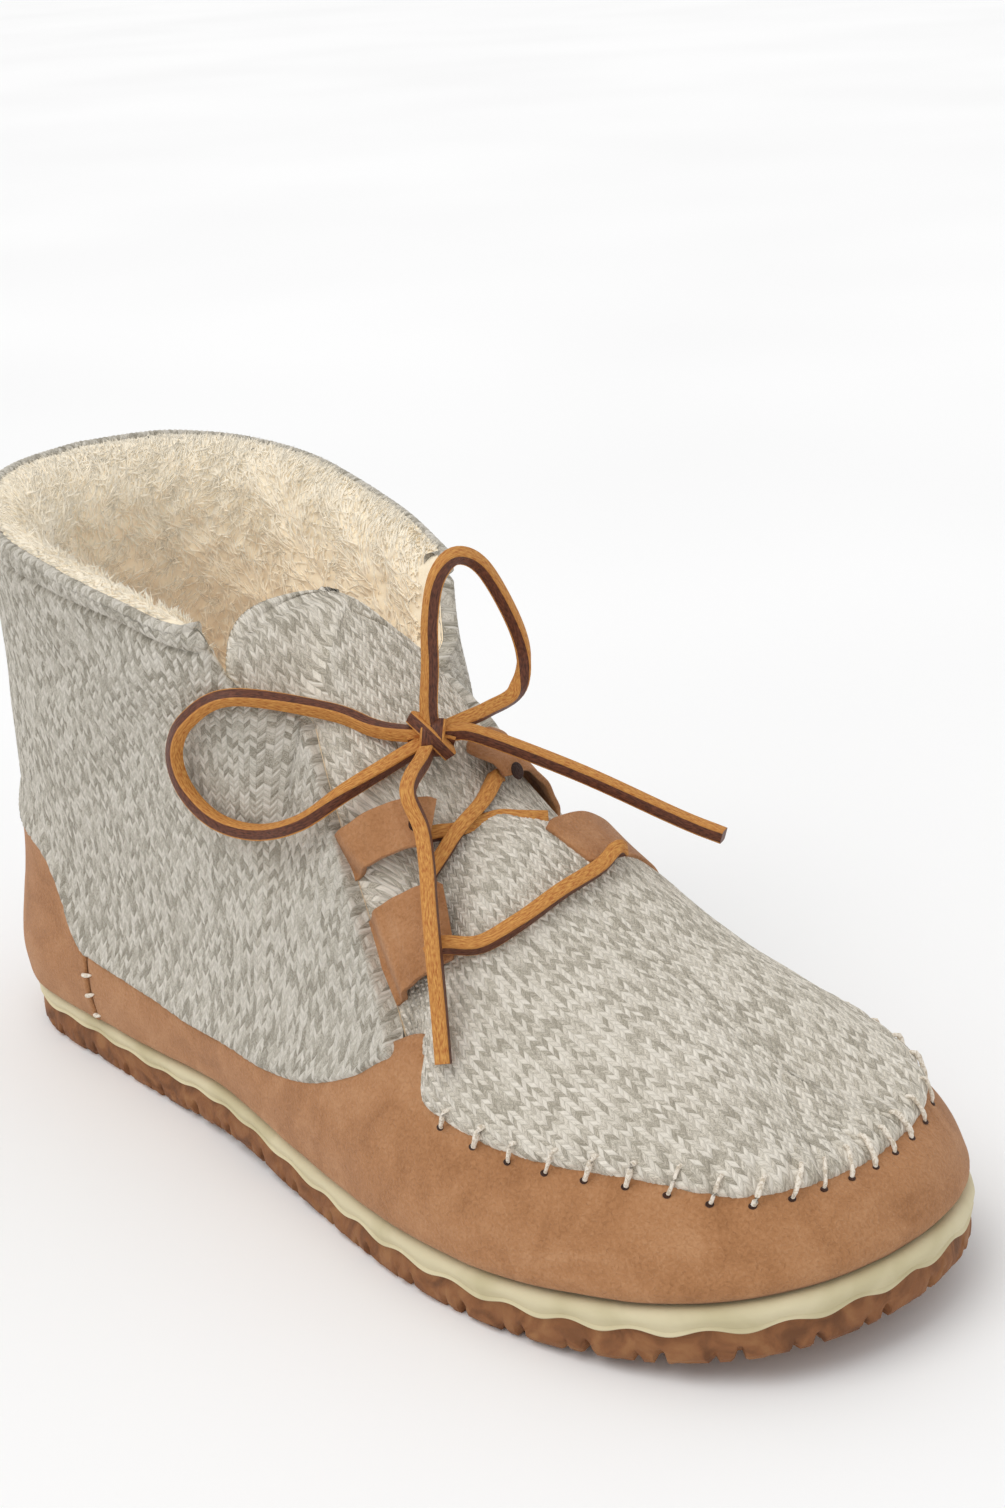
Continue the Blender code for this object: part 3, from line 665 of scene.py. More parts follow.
def sliced(seed: Piece, heights: Sequence[float]) -> None:
    """Cuts level rings into a small shape, so that it can bend.

    Args:
        seed: The shape.
        heights: The rings' heights.
    """
    only(seed)
    bpy.ops.object.mode_set(mode="EDIT")
    for height in heights:
        bpy.ops.mesh.select_all(action="SELECT")
        bpy.ops.mesh.bisect(plane_co=(0, 0, float(height)), plane_no=(0, 0, 1))
    bpy.ops.object.mode_set(mode="OBJECT")


def flattened(shape: Array, at: Array, out: Array, radius: float, wide: float, thick: float) -> Array:
    """Lays a flattened ball on a surface.

    Args:
        shape: The ball's points.
        at: Where it lies.
        out: The way out of the surface.
        radius: Its radius, in metres.
        wide: How much wider than high it is.
        thick: Its thickness as a share of its height.

    Returns:
        The placed points.
    """
    aside = unit(np.cross(out, UPRIGHT))
    up = np.cross(aside, out)
    return at + (shape[:, :1] * aside * wide + shape[:, 1:2] * up + shape[:, 2:] * out * thick) * radius


def dressed(piece: Piece, slot: Slot, *paints: Material, stands_for: Sequence[str] = ()) -> None:
    """Paints a piece, puts it on the boot's body and hides the nodes that it stands for.

    Args:
        piece: The piece.
        slot: A material slot; not used.
        *paints: Its materials.
        stands_for: The nodes that it replaces.
    """
    faces = piece.data.polygons
    indices = np.zeros(len(faces), np.int32)
    faces.foreach_get("material_index", indices)
    piece.data.materials.clear()
    for paint in paints:
        piece.data.materials.append(paint)
    faces.foreach_set("material_index", np.minimum(indices, len(paints) - 1))
    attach(piece, BODY)
    if stands_for:
        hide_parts(*stands_for)
    LOG.info("%s: %d faces", piece.name, len(piece.data.polygons))


# ------------------------------------------------------------------------------ finishes


def linear(code: str) -> tuple[float, float, float, float]:
    """Turns a colour code such as A07050 into linear light.

    Args:
        code: Six hexadecimal digits.

    Returns:
        The colour with full opacity.
    """
    parts = [int(code[k : k + 2], 16) / 255 for k in (0, 2, 4)]
    red, green, blue = (c / 12.92 if c <= 0.04045 else ((c + 0.055) / 1.055) ** 2.4 for c in parts)
    return red, green, blue, 1.0


class Paint:
    """A material's nodes under construction."""

    def __init__(self, name: str, roughness: float, sheen: float = 0.0) -> None:
        """Starts a material.

        Args:
            name: Its name.
            roughness: The surface's roughness.
            sheen: How strong the cloth sheen is.
        """
        self.material = bpy.data.materials.new(name)
        self.material.use_nodes = True
        self.tree = self.material.node_tree
        self.shader = self.tree.nodes["Principled BSDF"]
        self.shader.inputs["Roughness"].default_value = roughness
        self.shader.inputs["Sheen Weight"].default_value = sheen
        self.shader.inputs["Sheen Roughness"].default_value = 0.5
        self.shader.inputs["Specular IOR Level"].default_value = 0.3

    def node(self, kind: str, *feeds: object, **settings: object) -> bpy.types.Node:
        """Adds a node.

        Args:
            kind: Its type, without the word ShaderNode.
            *feeds: What goes into its inputs, in order: a socket, a value, or None.
            **settings: Its properties.

        Returns:
            The node.
        """
        made = self.tree.nodes.new(f"ShaderNode{kind}")
        for name, value in settings.items():
            setattr(made, name, value)
        for socket, feed in zip(made.inputs, feeds, strict=False):
            self.feed(socket, feed)
        return made

    def feed(self, socket: Socket, feed: object) -> None:
        """Links a socket or sets its value."""
        if isinstance(feed, Socket):
            self.tree.links.new(feed, socket)
        elif feed is not None:
            socket.default_value = feed

    def maths(self, operation: str, *feeds: object) -> Socket:
        """Adds a sum and gives its result."""
        return self.node("Math", *feeds, operation=operation).outputs[0]

    def plus(self, first: object, second: object) -> Socket:
        """Adds two values."""
        return self.maths("ADD", first, second)

    def minus(self, first: object, second: object) -> Socket:
        """Takes the second value from the first."""
        return self.maths("SUBTRACT", first, second)

    def times(self, first: object, second: object) -> Socket:
        """Multiplies two values."""
        return self.maths("MULTIPLY", first, second)

    def place(self) -> Socket:
        """Gives the piece's own coordinates, in metres."""
        return self.node("TexCoord").outputs["Object"]

    def spots(self, scale: float, detail: float = 2.0, at: object = None, stretch: float = 0.0) -> Socket:
        """Adds noise.

        Args:
            scale: How many bumps there are in a metre.
            detail: How many finer layers it has.
            at: The coordinates, or None for the piece's own.
            stretch: How much it is distorted.

        Returns:
            The noise, from 0 to 1.
        """
        made = self.node("TexNoise", at if at is not None else self.place())
        made.inputs["Scale"].default_value = scale
        made.inputs["Detail"].default_value = detail
        made.inputs["Distortion"].default_value = stretch
        return made.outputs["Fac"]

    def colours(self, share: Socket, stops: Sequence[tuple[float, str]]) -> Socket:
        """Adds a colour ramp.

        Args:
            share: What is looked up.
            stops: Places and colour codes.

        Returns:
            The colour.
        """
        made = self.node("ValToRGB", share)
        band = made.color_ramp
        while len(band.elements) < len(stops):
            band.elements.new(0.5)
        for element, (at, code) in zip(band.elements, stops, strict=True):
            element.position, element.color = at, linear(code)
        return made.outputs["Color"]

    def mixed(self, share: object, first: object, second: object) -> Socket:
        """Mixes two colours.

        Args:
            share: The share of the second.
            first: The first colour or socket.
            second: The second colour or socket.

        Returns:
            The mixed colour.
        """
        made = self.node("Mix", data_type="RGBA")
        for index, feed in ((0, share), (6, first), (7, second)):
            self.feed(made.inputs[index], feed)
        return made.outputs[2]

    def bump(self, height: Socket, depth: float, under: object = None) -> Socket:
        """Adds a bump of a depth in metres, over another bump if one is given.

        Args:
            height: The height that the bump follows.
            depth: Its depth, in metres.
            under: The bump that it lies over.

        Returns:
            The bumped normal.
        """
        made = self.node("Bump")
        made.inputs["Distance"].default_value = depth
        self.feed(made.inputs["Height"], height)
        self.feed(made.inputs["Normal"], under)
        return made.outputs["Normal"]

    def done(self, colour: object, normal: object = None) -> Material:
        """Feeds colour and normal to the shader and gives the material.

        Args:
            colour: The colour, or the socket that gives it.
            normal: The normal that the bumps give.

        Returns:
            The material.
        """
        self.feed(self.shader.inputs["Base Color"], colour)
        self.feed(self.shader.inputs["Normal"], normal)
        return self.material


@dataclass(frozen=True)
class KnitFinish:
    """Marled wool knit, whose map counts columns and rows of stitches.

    The last values are the shares of the marl that go by stitch, strand and ply, how much
    painted shade darkens the hollows, and the depths of the bumps in metres.
    """

    name: str = "marled_knit"
    lean: float = 0.95
    dark: str = "A39B8B"
    grey: str = "C5BDAD"
    light: str = "E2DACB"
    cream: str = "F3ECDF"
    hollow_shade: str = "968F81"
    by_stitch: float = 0.26
    by_strand: float = 0.50
    by_ply: float = 0.28
    shade: float = 0.42
    strand_depth: float = 0.0003
    ply_depth: float = 0.0001
    fuzz: float = 2600
    fuzz_depth: float = 0.00004

    def build(self) -> Material:
        """Makes the knit's material.

        Returns:
            The material.
        """
        paint = Paint(self.name, 0.95, sheen=0.12)
        split = paint.node("SeparateXYZ", paint.node("TexCoord").outputs["UV"])
        across, along = split.outputs[0], split.outputs[1]
        side = paint.times(paint.maths("ABSOLUTE", paint.minus(paint.maths("FRACT", across), 0.5)), 2.0)
        leg = paint.minus(along, paint.times(side, self.lean))
        half = paint.maths("FLOOR", paint.times(across, 2.0))
        colour, fine = self.marl(paint, across, leg, side, half)
        off = paint.maths("ABSOLUTE", paint.minus(paint.maths("FRACT", leg), 0.5))
        valley = paint.maths("POWER", paint.times(off, 2.0), 4.0)
        from_middle = paint.maths("ABSOLUTE", paint.minus(paint.times(side, 2.0), 1.0))
        between = paint.maths("POWER", from_middle, 6.0)
        # Painted shade: the hollows between the legs and between the columns are mixed towards a darker
        # colour.
        shade = paint.times(paint.maths("MAXIMUM", valley, between), self.shade)
        colour = paint.mixed(shade, colour, linear(self.hollow_shade))
        normal = paint.bump(paint.minus(1.0, paint.times(off, 1.6)), self.strand_depth)
        normal = paint.bump(fine, self.ply_depth, normal)
        return paint.done(colour, paint.bump(paint.spots(self.fuzz, 2.0), self.fuzz_depth, normal))

    def marl(
        self, paint: Paint, across: Socket, leg: Socket, side: Socket, half: Socket
    ) -> tuple[Socket, Socket]:
        """Mixes the yarn's light and dark fibres.

        Args:
            paint: The material under construction.
            across: Columns of stitches.
            leg: Rows of stitches along a leg.
            side: How far from the column's middle, from 0 to 1.
            half: The number of the half column.

        Returns:
            The yarn's colour, and the fine noise of its plies.
        """
        cell = paint.node("CombineXYZ", half, paint.maths("FLOOR", leg), 0.0)
        chance = paint.node("TexWhiteNoise", cell.outputs[0]).outputs["Value"]
        strand = paint.node("CombineXYZ", paint.plus(paint.times(side, 0.8), half), leg, 0.0)
        streak = paint.spots(7.0, 3.0, strand.outputs[0], 0.3)
        ply = paint.node("CombineXYZ", paint.times(across, 2.4), paint.times(leg, 6.0), 0.0)
        fine = paint.spots(1.6, 2.0, ply.outputs[0])
        marl = paint.plus(paint.times(chance, self.by_stitch), paint.times(streak, self.by_strand))
        marl = paint.plus(marl, paint.times(fine, self.by_ply))
        stops = [(0.38, self.dark), (0.45, self.grey), (0.53, self.light), (0.66, self.cream)]
        return paint.colours(marl, stops), fine


@dataclass(frozen=True)
class SuedeFinish:
    """Brushed tan suede."""

    name: str = "tan_suede"
    deep: str = "9B6A42"
    tan: str = "B07D53"
    pale: str = "C08F66"

    def build(self) -> Material:
        """Makes the suede's material.

        Returns:
            The material.
        """
        paint = Paint(self.name, 0.92, sheen=0.12)
        nap = paint.spots(1500, 4.0, stretch=0.6)
        cloud = paint.spots(70, 3.0, stretch=1.2)
        share = paint.plus(paint.times(nap, 0.45), paint.times(cloud, 0.55))
        colour = paint.colours(share, [(0.32, self.deep), (0.50, self.tan), (0.68, self.pale)])
        fibre = paint.spots(4200, 3.0, stretch=1.0)
        normal = paint.bump(nap, 0.00035)
        return paint.done(colour, paint.bump(fibre, 0.00012, normal))


@dataclass(frozen=True)
class FoamFinish:
    """Smooth cream foam rubber."""

    cream: str = "D5CAA8"
    shade: str = "C6BB96"

    def build(self) -> Material:
        """Makes the midsole's material.

        Returns:
            The material.
        """
        paint = Paint("cream_foam", 0.62)
        colour = paint.colours(paint.spots(45, 3.0, stretch=0.8), [(0.35, self.shade), (0.55, self.cream)])
        return paint.done(colour, paint.bump(paint.spots(900, 3.0), 0.00008))


@dataclass(frozen=True)
class RubberFinish:
    """Matt brown rubber with a scuffed, mottled side."""

    dark: str = "6E472C"
    brown: str = "895A38"
    worn: str = "9C6E47"

    def build(self) -> Material:
        """Makes the outsole's material.

        Returns:
            The material.
        """
        paint = Paint("brown_rubber", 0.70)
        colour = paint.colours(
            paint.spots(110, 4.0, stretch=1.5), [(0.32, self.dark), (0.48, self.brown), (0.68, self.worn)]
        )
        return paint.done(colour, paint.bump(paint.spots(700, 4.0, stretch=0.7), 0.0003))


@dataclass(frozen=True)
class PileFinish:
    """Cream deep pile, painted darker and browner towards the bottom of the boot: painted shade deep inside
    it.

    Attributes:
        name: Its name.
        rim: Its colour at the collar.
        deep: Its colour below, a painted shade.
        painted_glow: A painted glow: flat emission that brightens the pile, though it is no lamp.
        full_shade_height: The height where the deep colour, a painted shade, ends, in metres.
        no_shade_height: The height where the rim's colour begins, above the painted shade, in metres.
    """

    name: str
    rim: str
    deep: str
    painted_glow: str = "565856"
    full_shade_height: float = 0.070
    no_shade_height: float = 0.130

    def build(self) -> Material:
        """Makes the pile's material.

        Returns:
            The material.
        """
        paint = Paint(self.name, 0.95, sheen=0.05)
        # Painted glow: the pile emits light so that it looks brighter, though it is no lamp.
        paint.shader.inputs["Emission Color"].default_value = linear(self.painted_glow)
        paint.shader.inputs["Emission Strength"].default_value = 1.0
        # Painted shade: the colour runs from the deep colour low in the boot to the rim's colour at the
        # collar.
        high = paint.node("SeparateXYZ", paint.place()).outputs[2]
        height = paint.node("MapRange", high, self.full_shade_height, self.no_shade_height)
        curl = paint.spots(220, 3.0, stretch=1.5)
        share = paint.plus(height.outputs[0], paint.times(paint.minus(curl, 0.5), 0.9))
        colour = paint.colours(share, [(0.0, self.deep), (0.9, self.rim)])
        streak = paint.spots(1300, 3.0, stretch=2.5)
        colour = paint.mixed(paint.times(streak, 0.20), colour, linear(self.deep))
        return paint.done(colour, paint.bump(streak, 0.00006, paint.bump(curl, 0.0003)))


@dataclass(frozen=True)
class LeatherFinish:
    """One kind of face of the square lace."""

    name: str
    dark: str
    light: str
    roughness: float
    grain: float

    def build(self) -> Material:
        """Makes the lace's material.

        Returns:
            The material.
        """
        paint = Paint(self.name, self.roughness)
        map_at = paint.node("TexCoord").outputs["UV"]
        lengthwise = paint.node("Mapping", map_at)
        lengthwise.inputs["Scale"].default_value = (1.0, 6.0, 1.0)
        streak = paint.spots(2.2, 3.0, lengthwise.outputs[0])
        colour = paint.colours(streak, [(0.34, self.dark), (0.64, self.light)])
        return paint.done(colour, paint.bump(paint.spots(1800, 3.0), self.grain))


@dataclass(frozen=True)
class YarnFinish:
    """Cream sewing yarn."""

    name: str = "cream_yarn"
    light: str = "EFE6D8"
    shade: str = "C9BBA6"

    def build(self) -> Material:
        """Makes the yarn's material.

        Returns:
            The material.
        """
        paint = Paint(self.name, 0.9, sheen=0.1)
        colour = paint.colours(paint.spots(1400, 2.0, stretch=1.0), [(0.38, self.shade), (0.56, self.light)])
        return paint.done(colour, paint.bump(paint.spots(2400, 2.0), 0.0002))


# -------------------------------------------------------------------------------- camera


@dataclass(frozen=True)
class Studio:
    """The camera, the floor and the lights."""

    place: tuple[float, float, float] = (0.3810, -0.3072, 0.2676)
    right: tuple[float, float, float] = (0.6738, 0.7371, -0.0522)
    up: tuple[float, float, float] = (-0.2230, 0.2701, 0.9366)
    lens: float = 58.16
    long_side: float = 36.0
    sky: float = 0.78
    sun_from: tuple[float, float, float] = (-0.10, -0.50, 0.90)
    sun_spread: float = 0.75
    sun_power: float = 0.95

    def build(self) -> None:
        """Makes camera, floor, world and lights."""
        right = Vector(self.right).normalized()
        up = (Vector(self.up) - right * Vector(self.up).dot(right)).normalized()
        back = right.cross(up)
        eye = bpy.data.cameras.new("camera")
        eye.lens, eye.sensor_width = self.lens, self.long_side
        eye.clip_start, eye.clip_end = 0.01, 20.0
        holder = bpy.data.objects.new("camera", eye)
        bpy.context.collection.objects.link(holder)
        turned = Matrix((right, up, back)).transposed().to_4x4()
        holder.matrix_world = Matrix.Translation(self.place) @ turned
        bpy.context.scene.camera = holder
        self.floor()
        self.world()
        self.sun()
        bpy.context.scene.view_settings.view_transform = "Standard"

    def floor(self) -> None:
        """Makes the pale floor."""
        bpy.ops.object.select_all(action="DESELECT")
        bpy.ops.mesh.primitive_plane_add(size=60.0)
        floor = bpy.context.object
        floor.name = "floor"
        paint = Paint("pale_floor", 0.9)
        colour = paint.colours(paint.spots(3.0, 1.0), [(0.3, "F6F6F6"), (0.7, "FAFAFA")])
        floor.data.materials.append(paint.done(colour))

    def world(self) -> None:
        """Makes the plain surroundings."""
        world = bpy.data.worlds.new("surroundings")
        world.use_nodes = True
        shade = world.node_tree.nodes["Background"]
        shade.inputs["Color"].default_value = (1.0, 1.0, 1.0, 1.0)
        shade.inputs["Strength"].default_value = self.sky
        bpy.context.scene.world = world

    def sun(self) -> None:
        """Makes one soft light that is even over floor and boot."""
        light = bpy.data.lights.new("key_light", "SUN")
        light.angle, light.energy = self.sun_spread, self.sun_power
        holder = bpy.data.objects.new("key_light", light)
        bpy.context.collection.objects.link(holder)
        holder.rotation_mode = "QUATERNION"
        holder.rotation_quaternion = Vector(self.sun_from).to_track_quat("Z", "Y")


# ---------------------------------------------------------------------------------- lace


@dataclass(frozen=True)
class Run:
    """One length of lace.

    Attributes:
        name: Its name.
        bends: Its bends, in millimetres.
        grain: Which way its dark grain side faces, at the start and at the end.
        far_end: What its far end is; not used.
        stands_for: The nodes that it replaces.
        free: Whether it is a free cord; not used.
    """

    name: str
    bends: tuple
    grain: tuple
    far_end: str = "bare"
    stands_for: tuple = ()
    free: bool = True


TO_EYE = np.array((0.70, -0.62, 0.35))
UPWARD = np.array((-0.22, 0.27, 0.94))
ASIDE = np.array((0.67, 0.74, -0.05))
KNOT = (14.2, -4.9, 97.4)
LOOP_OUTER = Run(
    "lace_bow_outer",
    ((13.9, -5.9, 98.2), (11.2, -8.8, 98.2), (5.8, -12.9, 99.2), (-2.7, -17.9, 102.4),
     (-14.6, -33.7, 107.2), (-22.0, -40.3, 102.4), (-26.6, -41.4, 94.3), (-24.4, -41.0, 86.4),
     (-16.1, -39.8, 81.2), (-6.2, -36.6, 80.2), (4.7, -33.4, 84.2), (9.6, -24.9, 89.6),
     (12.6, -12.2, 94.2), (14.0, -6.4, 96.2)),
    (UPWARD + 0.5 * TO_EYE, 0.8 * TO_EYE - ASIDE, 0.6 * TO_EYE - UPWARD), "object", ("lace_loop_outer",),
)
LOOP_UPPER = Run(
    "lace_bow_upper",
    ((15.0, -5.6, 98.6), (15.2, -6.0, 104.2), (15.5, -5.2, 112.7), (15.5, -4.4, 122.9), (15.5, -1.8, 131.0),
     (15.5, 3.6, 134.2), (15.5, 10.7, 130.0), (15.5, 18.2, 117.0), (15.5, 20.7, 107.5), (15.9, 17.4, 101.2),
     (16.4, 9.2, 99.8), (16.4, 2.4, 99.2), (15.6, -2.6, 98.4)),
    (0.8 * ASIDE + TO_EYE, 0.7 * TO_EYE - UPWARD, 0.6 * TO_EYE - UPWARD), "object", ("lace_loop_upper",),
)
END_OUTER = Run(
    "lace_tail_outer",
    ((15.0, -6.0, 96.4), (18.2, -11.2, 94.4), (23.6, -18.8, 94.0), (26.0, -21.7, 91.8), (29.8, -22.0, 86.0),
     (34.4, -25.0, 80.6), (41.0, -30.4, 75.6), (47.4, -35.4, 68.6), (51.0, -38.0, 60.0), (55.4, -41.4, 49.8)),
    (ASIDE + 0.2 * TO_EYE, ASIDE + 0.3 * TO_EYE, ASIDE + 0.2 * TO_EYE), "bare", ("lace_end_outer",),
)
END_INNER = Run(
    "lace_tail_inner",
    ((15.0, -3.9, 97.8), (17.4, -1.7, 98.0), (21.8, 2.0, 97.2), (36.2, 16.0, 88.3), (52.7, 28.0, 78.8),
     (61.5, 32.0, 75.9)),
    (TO_EYE - 0.6 * UPWARD, TO_EYE - 0.7 * UPWARD, TO_EYE - 0.5 * UPWARD), "bare", ("lace_end_inner",),
)
BAR = Run(
    "lace_bar_square",
    ((42.6, -32.6, 65.9), (44.4, -30.6, 67.9), (49.2, -25.2, 67.6), (51.8, -16.7, 70.4), (51.8, -5.3, 73.1),
     (50.7, 6.7, 74.3), (49.2, 12.9, 75.8), (48.2, 15.4, 74.4)),
    (0.8 * TO_EYE - UPWARD,) * 3, stands_for=("lace_bar",), free=False,
)
CROSS_UNDER = Run(
    "lace_crossing_low",
    ((33.4, 8.6, 79.6), (30.6, 3.6, 80.5), (27.6, -0.4, 81.0), (26.6, -10.4, 81.1), (25.0, -13.6, 81.2),
     (22.6, -17.2, 80.6)),
    (0.4 * TO_EYE - UPWARD,) * 3, free=False,
)
CROSS_OVER = Run(
    "lace_crossing_high",
    ((19.6, 7.6, 85.6), (21.3, 5.5, 86.4), (25.2, -1.4, 84.6), (28.0, -10.4, 82.2), (28.9, -16.2, 78.4),
     (29.4, -20.6, 75.4)),
    (0.4 * TO_EYE - UPWARD + 0.5 * ASIDE,) * 3, free=False,
)


@dataclass
class Lacing:
    """The square leather lace: its bar, crossing, knot and bow."""

    width: float = 0.0030
    corner: float = 0.00045
    step: float = 0.0010
    wrap_radius: float = 0.0030
    wrap_turns: tuple = (-0.5, 1.15)
    wrap_reach: tuple = (-0.0018, 0.0016)
    wrap_steps: int = 44
    core_reach: float = 0.0050
    strand_reach: float = 0.0052
    knot_steps: int = 14
    grain: Material = field(init=False)
    cut: Material = field(init=False)

    def __post_init__(self) -> None:
        """Makes the two finishes of the lace."""
        self.grain = LeatherFinish("lace_grain", "45261A", "70412D", 0.45, 0.00015).build()
        self.cut = LeatherFinish("lace_cut_side", "A9652F", "D29A52", 0.75, 0.00025).build()

    def route(self, bends: Sequence[Sequence[float]]) -> Array:
        """Gives points at even steps along a smooth line through bends.

        Args:
            bends: The bends, in millimetres, before they are centred.

        Returns:
            Points in metres.
        """
        knots = np.array(bends, float) / 1000
        ends = np.concatenate([2 * knots[:1] - knots[1:2], knots, 2 * knots[-1:] - knots[-2:-1]])
        fine = []
        for p, q, r, s in zip(ends, ends[1:], ends[2:], ends[3:], strict=False):
            t = np.linspace(0, 1, 16, endpoint=False)[:, None]
            a, b = 2 * t**3 - 3 * t**2 + 1, 3 * t**2 - 2 * t**3
            c, d = t**3 - 2 * t**2 + t, t**3 - t**2
            fine.append(a * q + b * r + c * (r - p) / 2 + d * (s - q) / 2)
        fine.append(knots[-1:])
        fine = np.concatenate(fine)
        arc = lengths(fine, 0)
        even = np.linspace(0, arc[-1], max(6, round(arc[-1] / self.step)) + 1)
        return np.stack([np.interp(even, arc, fine[:, k]) for k in range(3)], 1) + MIDDLE

    def section(self) -> Array:
        """Gives the square section with soft corners, from one corner of the grain side round.

        Returns:
            The points, with the first one again at the end.
        """
        half, inner = self.width / 2, self.width / 2 - self.corner
        soft = inner + 0.7 * self.corner
        ring = []
        for side in range(4):
            angle = side * np.pi / 2
            turn = np.array(((np.cos(angle), -np.sin(angle)), (np.sin(angle), np.cos(angle))))
            ring += [turn @ np.array(at) for at in ((half, -inner), (half, 0.0), (half, inner), (soft, soft))]
        return np.array([*ring, ring[0]])

    def sweep(self, name: str, line: Array, facing: Sequence[Array] | Array) -> Piece:
        """Lays the square section along a line.

        Args:
            name: The piece's name.
            line: The centreline, in metres.
            facing: Which way the grain side faces, at even places along the line.

        Returns:
            The closed piece.
        """
        ring = self.section()
        ahead = unit(np.gradient(line, axis=0))
        keys = np.array(facing)
        share = np.linspace(0, len(keys) - 1, len(line))
        wanted = np.stack([np.interp(share, np.arange(len(keys)), keys[:, k]) for k in range(3)], 1)
        grain = unit(wanted - (wanted * ahead).sum(1, keepdims=True) * ahead)
        across = np.cross(ahead, grain)
        points = line[None] + ring[:, None, :1] * grain[None] + ring[:, None, 1:] * across[None]
        tall = np.broadcast_to(np.arange(len(line)) * self.step / self.width, points.shape[:2])
        wide = np.broadcast_to((np.arange(len(ring)) / 4.0)[:, None], points.shape[:2])
        piece = laid(name, points, np.stack([tall, wide], -1))
        piece.data.materials.append(self.cut)
        piece.data.materials.append(self.grain)
        column = np.array([min(v % len(ring) for v in f.vertices) for f in piece.data.polygons])
        piece.data.polygons.foreach_set("material_index", (column < 2).astype(np.int32))
        merged(piece, 1e-6)
        bpy.ops.object.mode_set(mode="EDIT")
        bpy.ops.mesh.select_all(action="DESELECT")
        bpy.ops.mesh.select_non_manifold(extend=False)
        bpy.ops.mesh.edge_face_add()
        bpy.ops.mesh.select_all(action="SELECT")
        bpy.ops.mesh.normals_make_consistent(inside=False)
        bpy.ops.object.mode_set(mode="OBJECT")
        bpy.ops.object.shade_smooth_by_angle(angle=0.7)
        return piece

    def knot(self) -> Piece:
        """Makes the knot: a dark wrap and a slanting strand round a short core.

        Returns:
            The joined knot.
        """
        centre = np.array(KNOT) / 1000 + MIDDLE
        right, up, eye = unit(ASIDE), unit(UPWARD), unit(TO_EYE)
        angle = np.linspace(*self.wrap_turns, self.wrap_steps)[:, None] * 2 * np.pi
        out = eye * np.cos(angle) + up * np.sin(angle)
        aside = right * np.linspace(*self.wrap_reach, self.wrap_steps)[:, None]
        wrap = centre + out * self.wrap_radius + aside
        band = self.sweep("knot_wrap", wrap, out)
        reach = np.linspace(-1, 1, self.knot_steps)[:, None]
        core = centre + right * reach * self.core_reach - up * 0.0008 * reach**2
        middle = self.sweep("knot_core", core, (eye - up,) * 2)
        slanting = centre + unit(right * 0.7 - up * 0.7) * reach * self.strand_reach
        slanting = slanting + eye * (0.0030 - 0.0022 * reach**2)
        strand = self.sweep("knot_strand", slanting, (eye - 0.4 * up,) * 2)
        return joined("lace_knot_tied", [band, middle, strand])

    def build(self) -> None:
        """Makes the whole lace."""
        dressed(self.knot(), Slot.LACE, self.cut, self.grain, stands_for=["lace_knot"])
        under, over = CROSS_UNDER, CROSS_OVER
        low, high = (self.sweep(run.name, self.route(run.bends), run.grain) for run in (under, over))
        crossing = joined("lace_crossing_square", [high, low])
        dressed(crossing, Slot.LACE, self.cut, self.grain, stands_for=["lace_crossing"])
        for run in (BAR, LOOP_OUTER, LOOP_UPPER, END_OUTER, END_INNER):
            line = self.route(run.bends)
            piece = self.sweep(run.name, line, run.grain)
            dressed(piece, Slot.LACE, self.cut, self.grain, stands_for=run.stands_for)


# ---------------------------------------------------------------------------------- sole


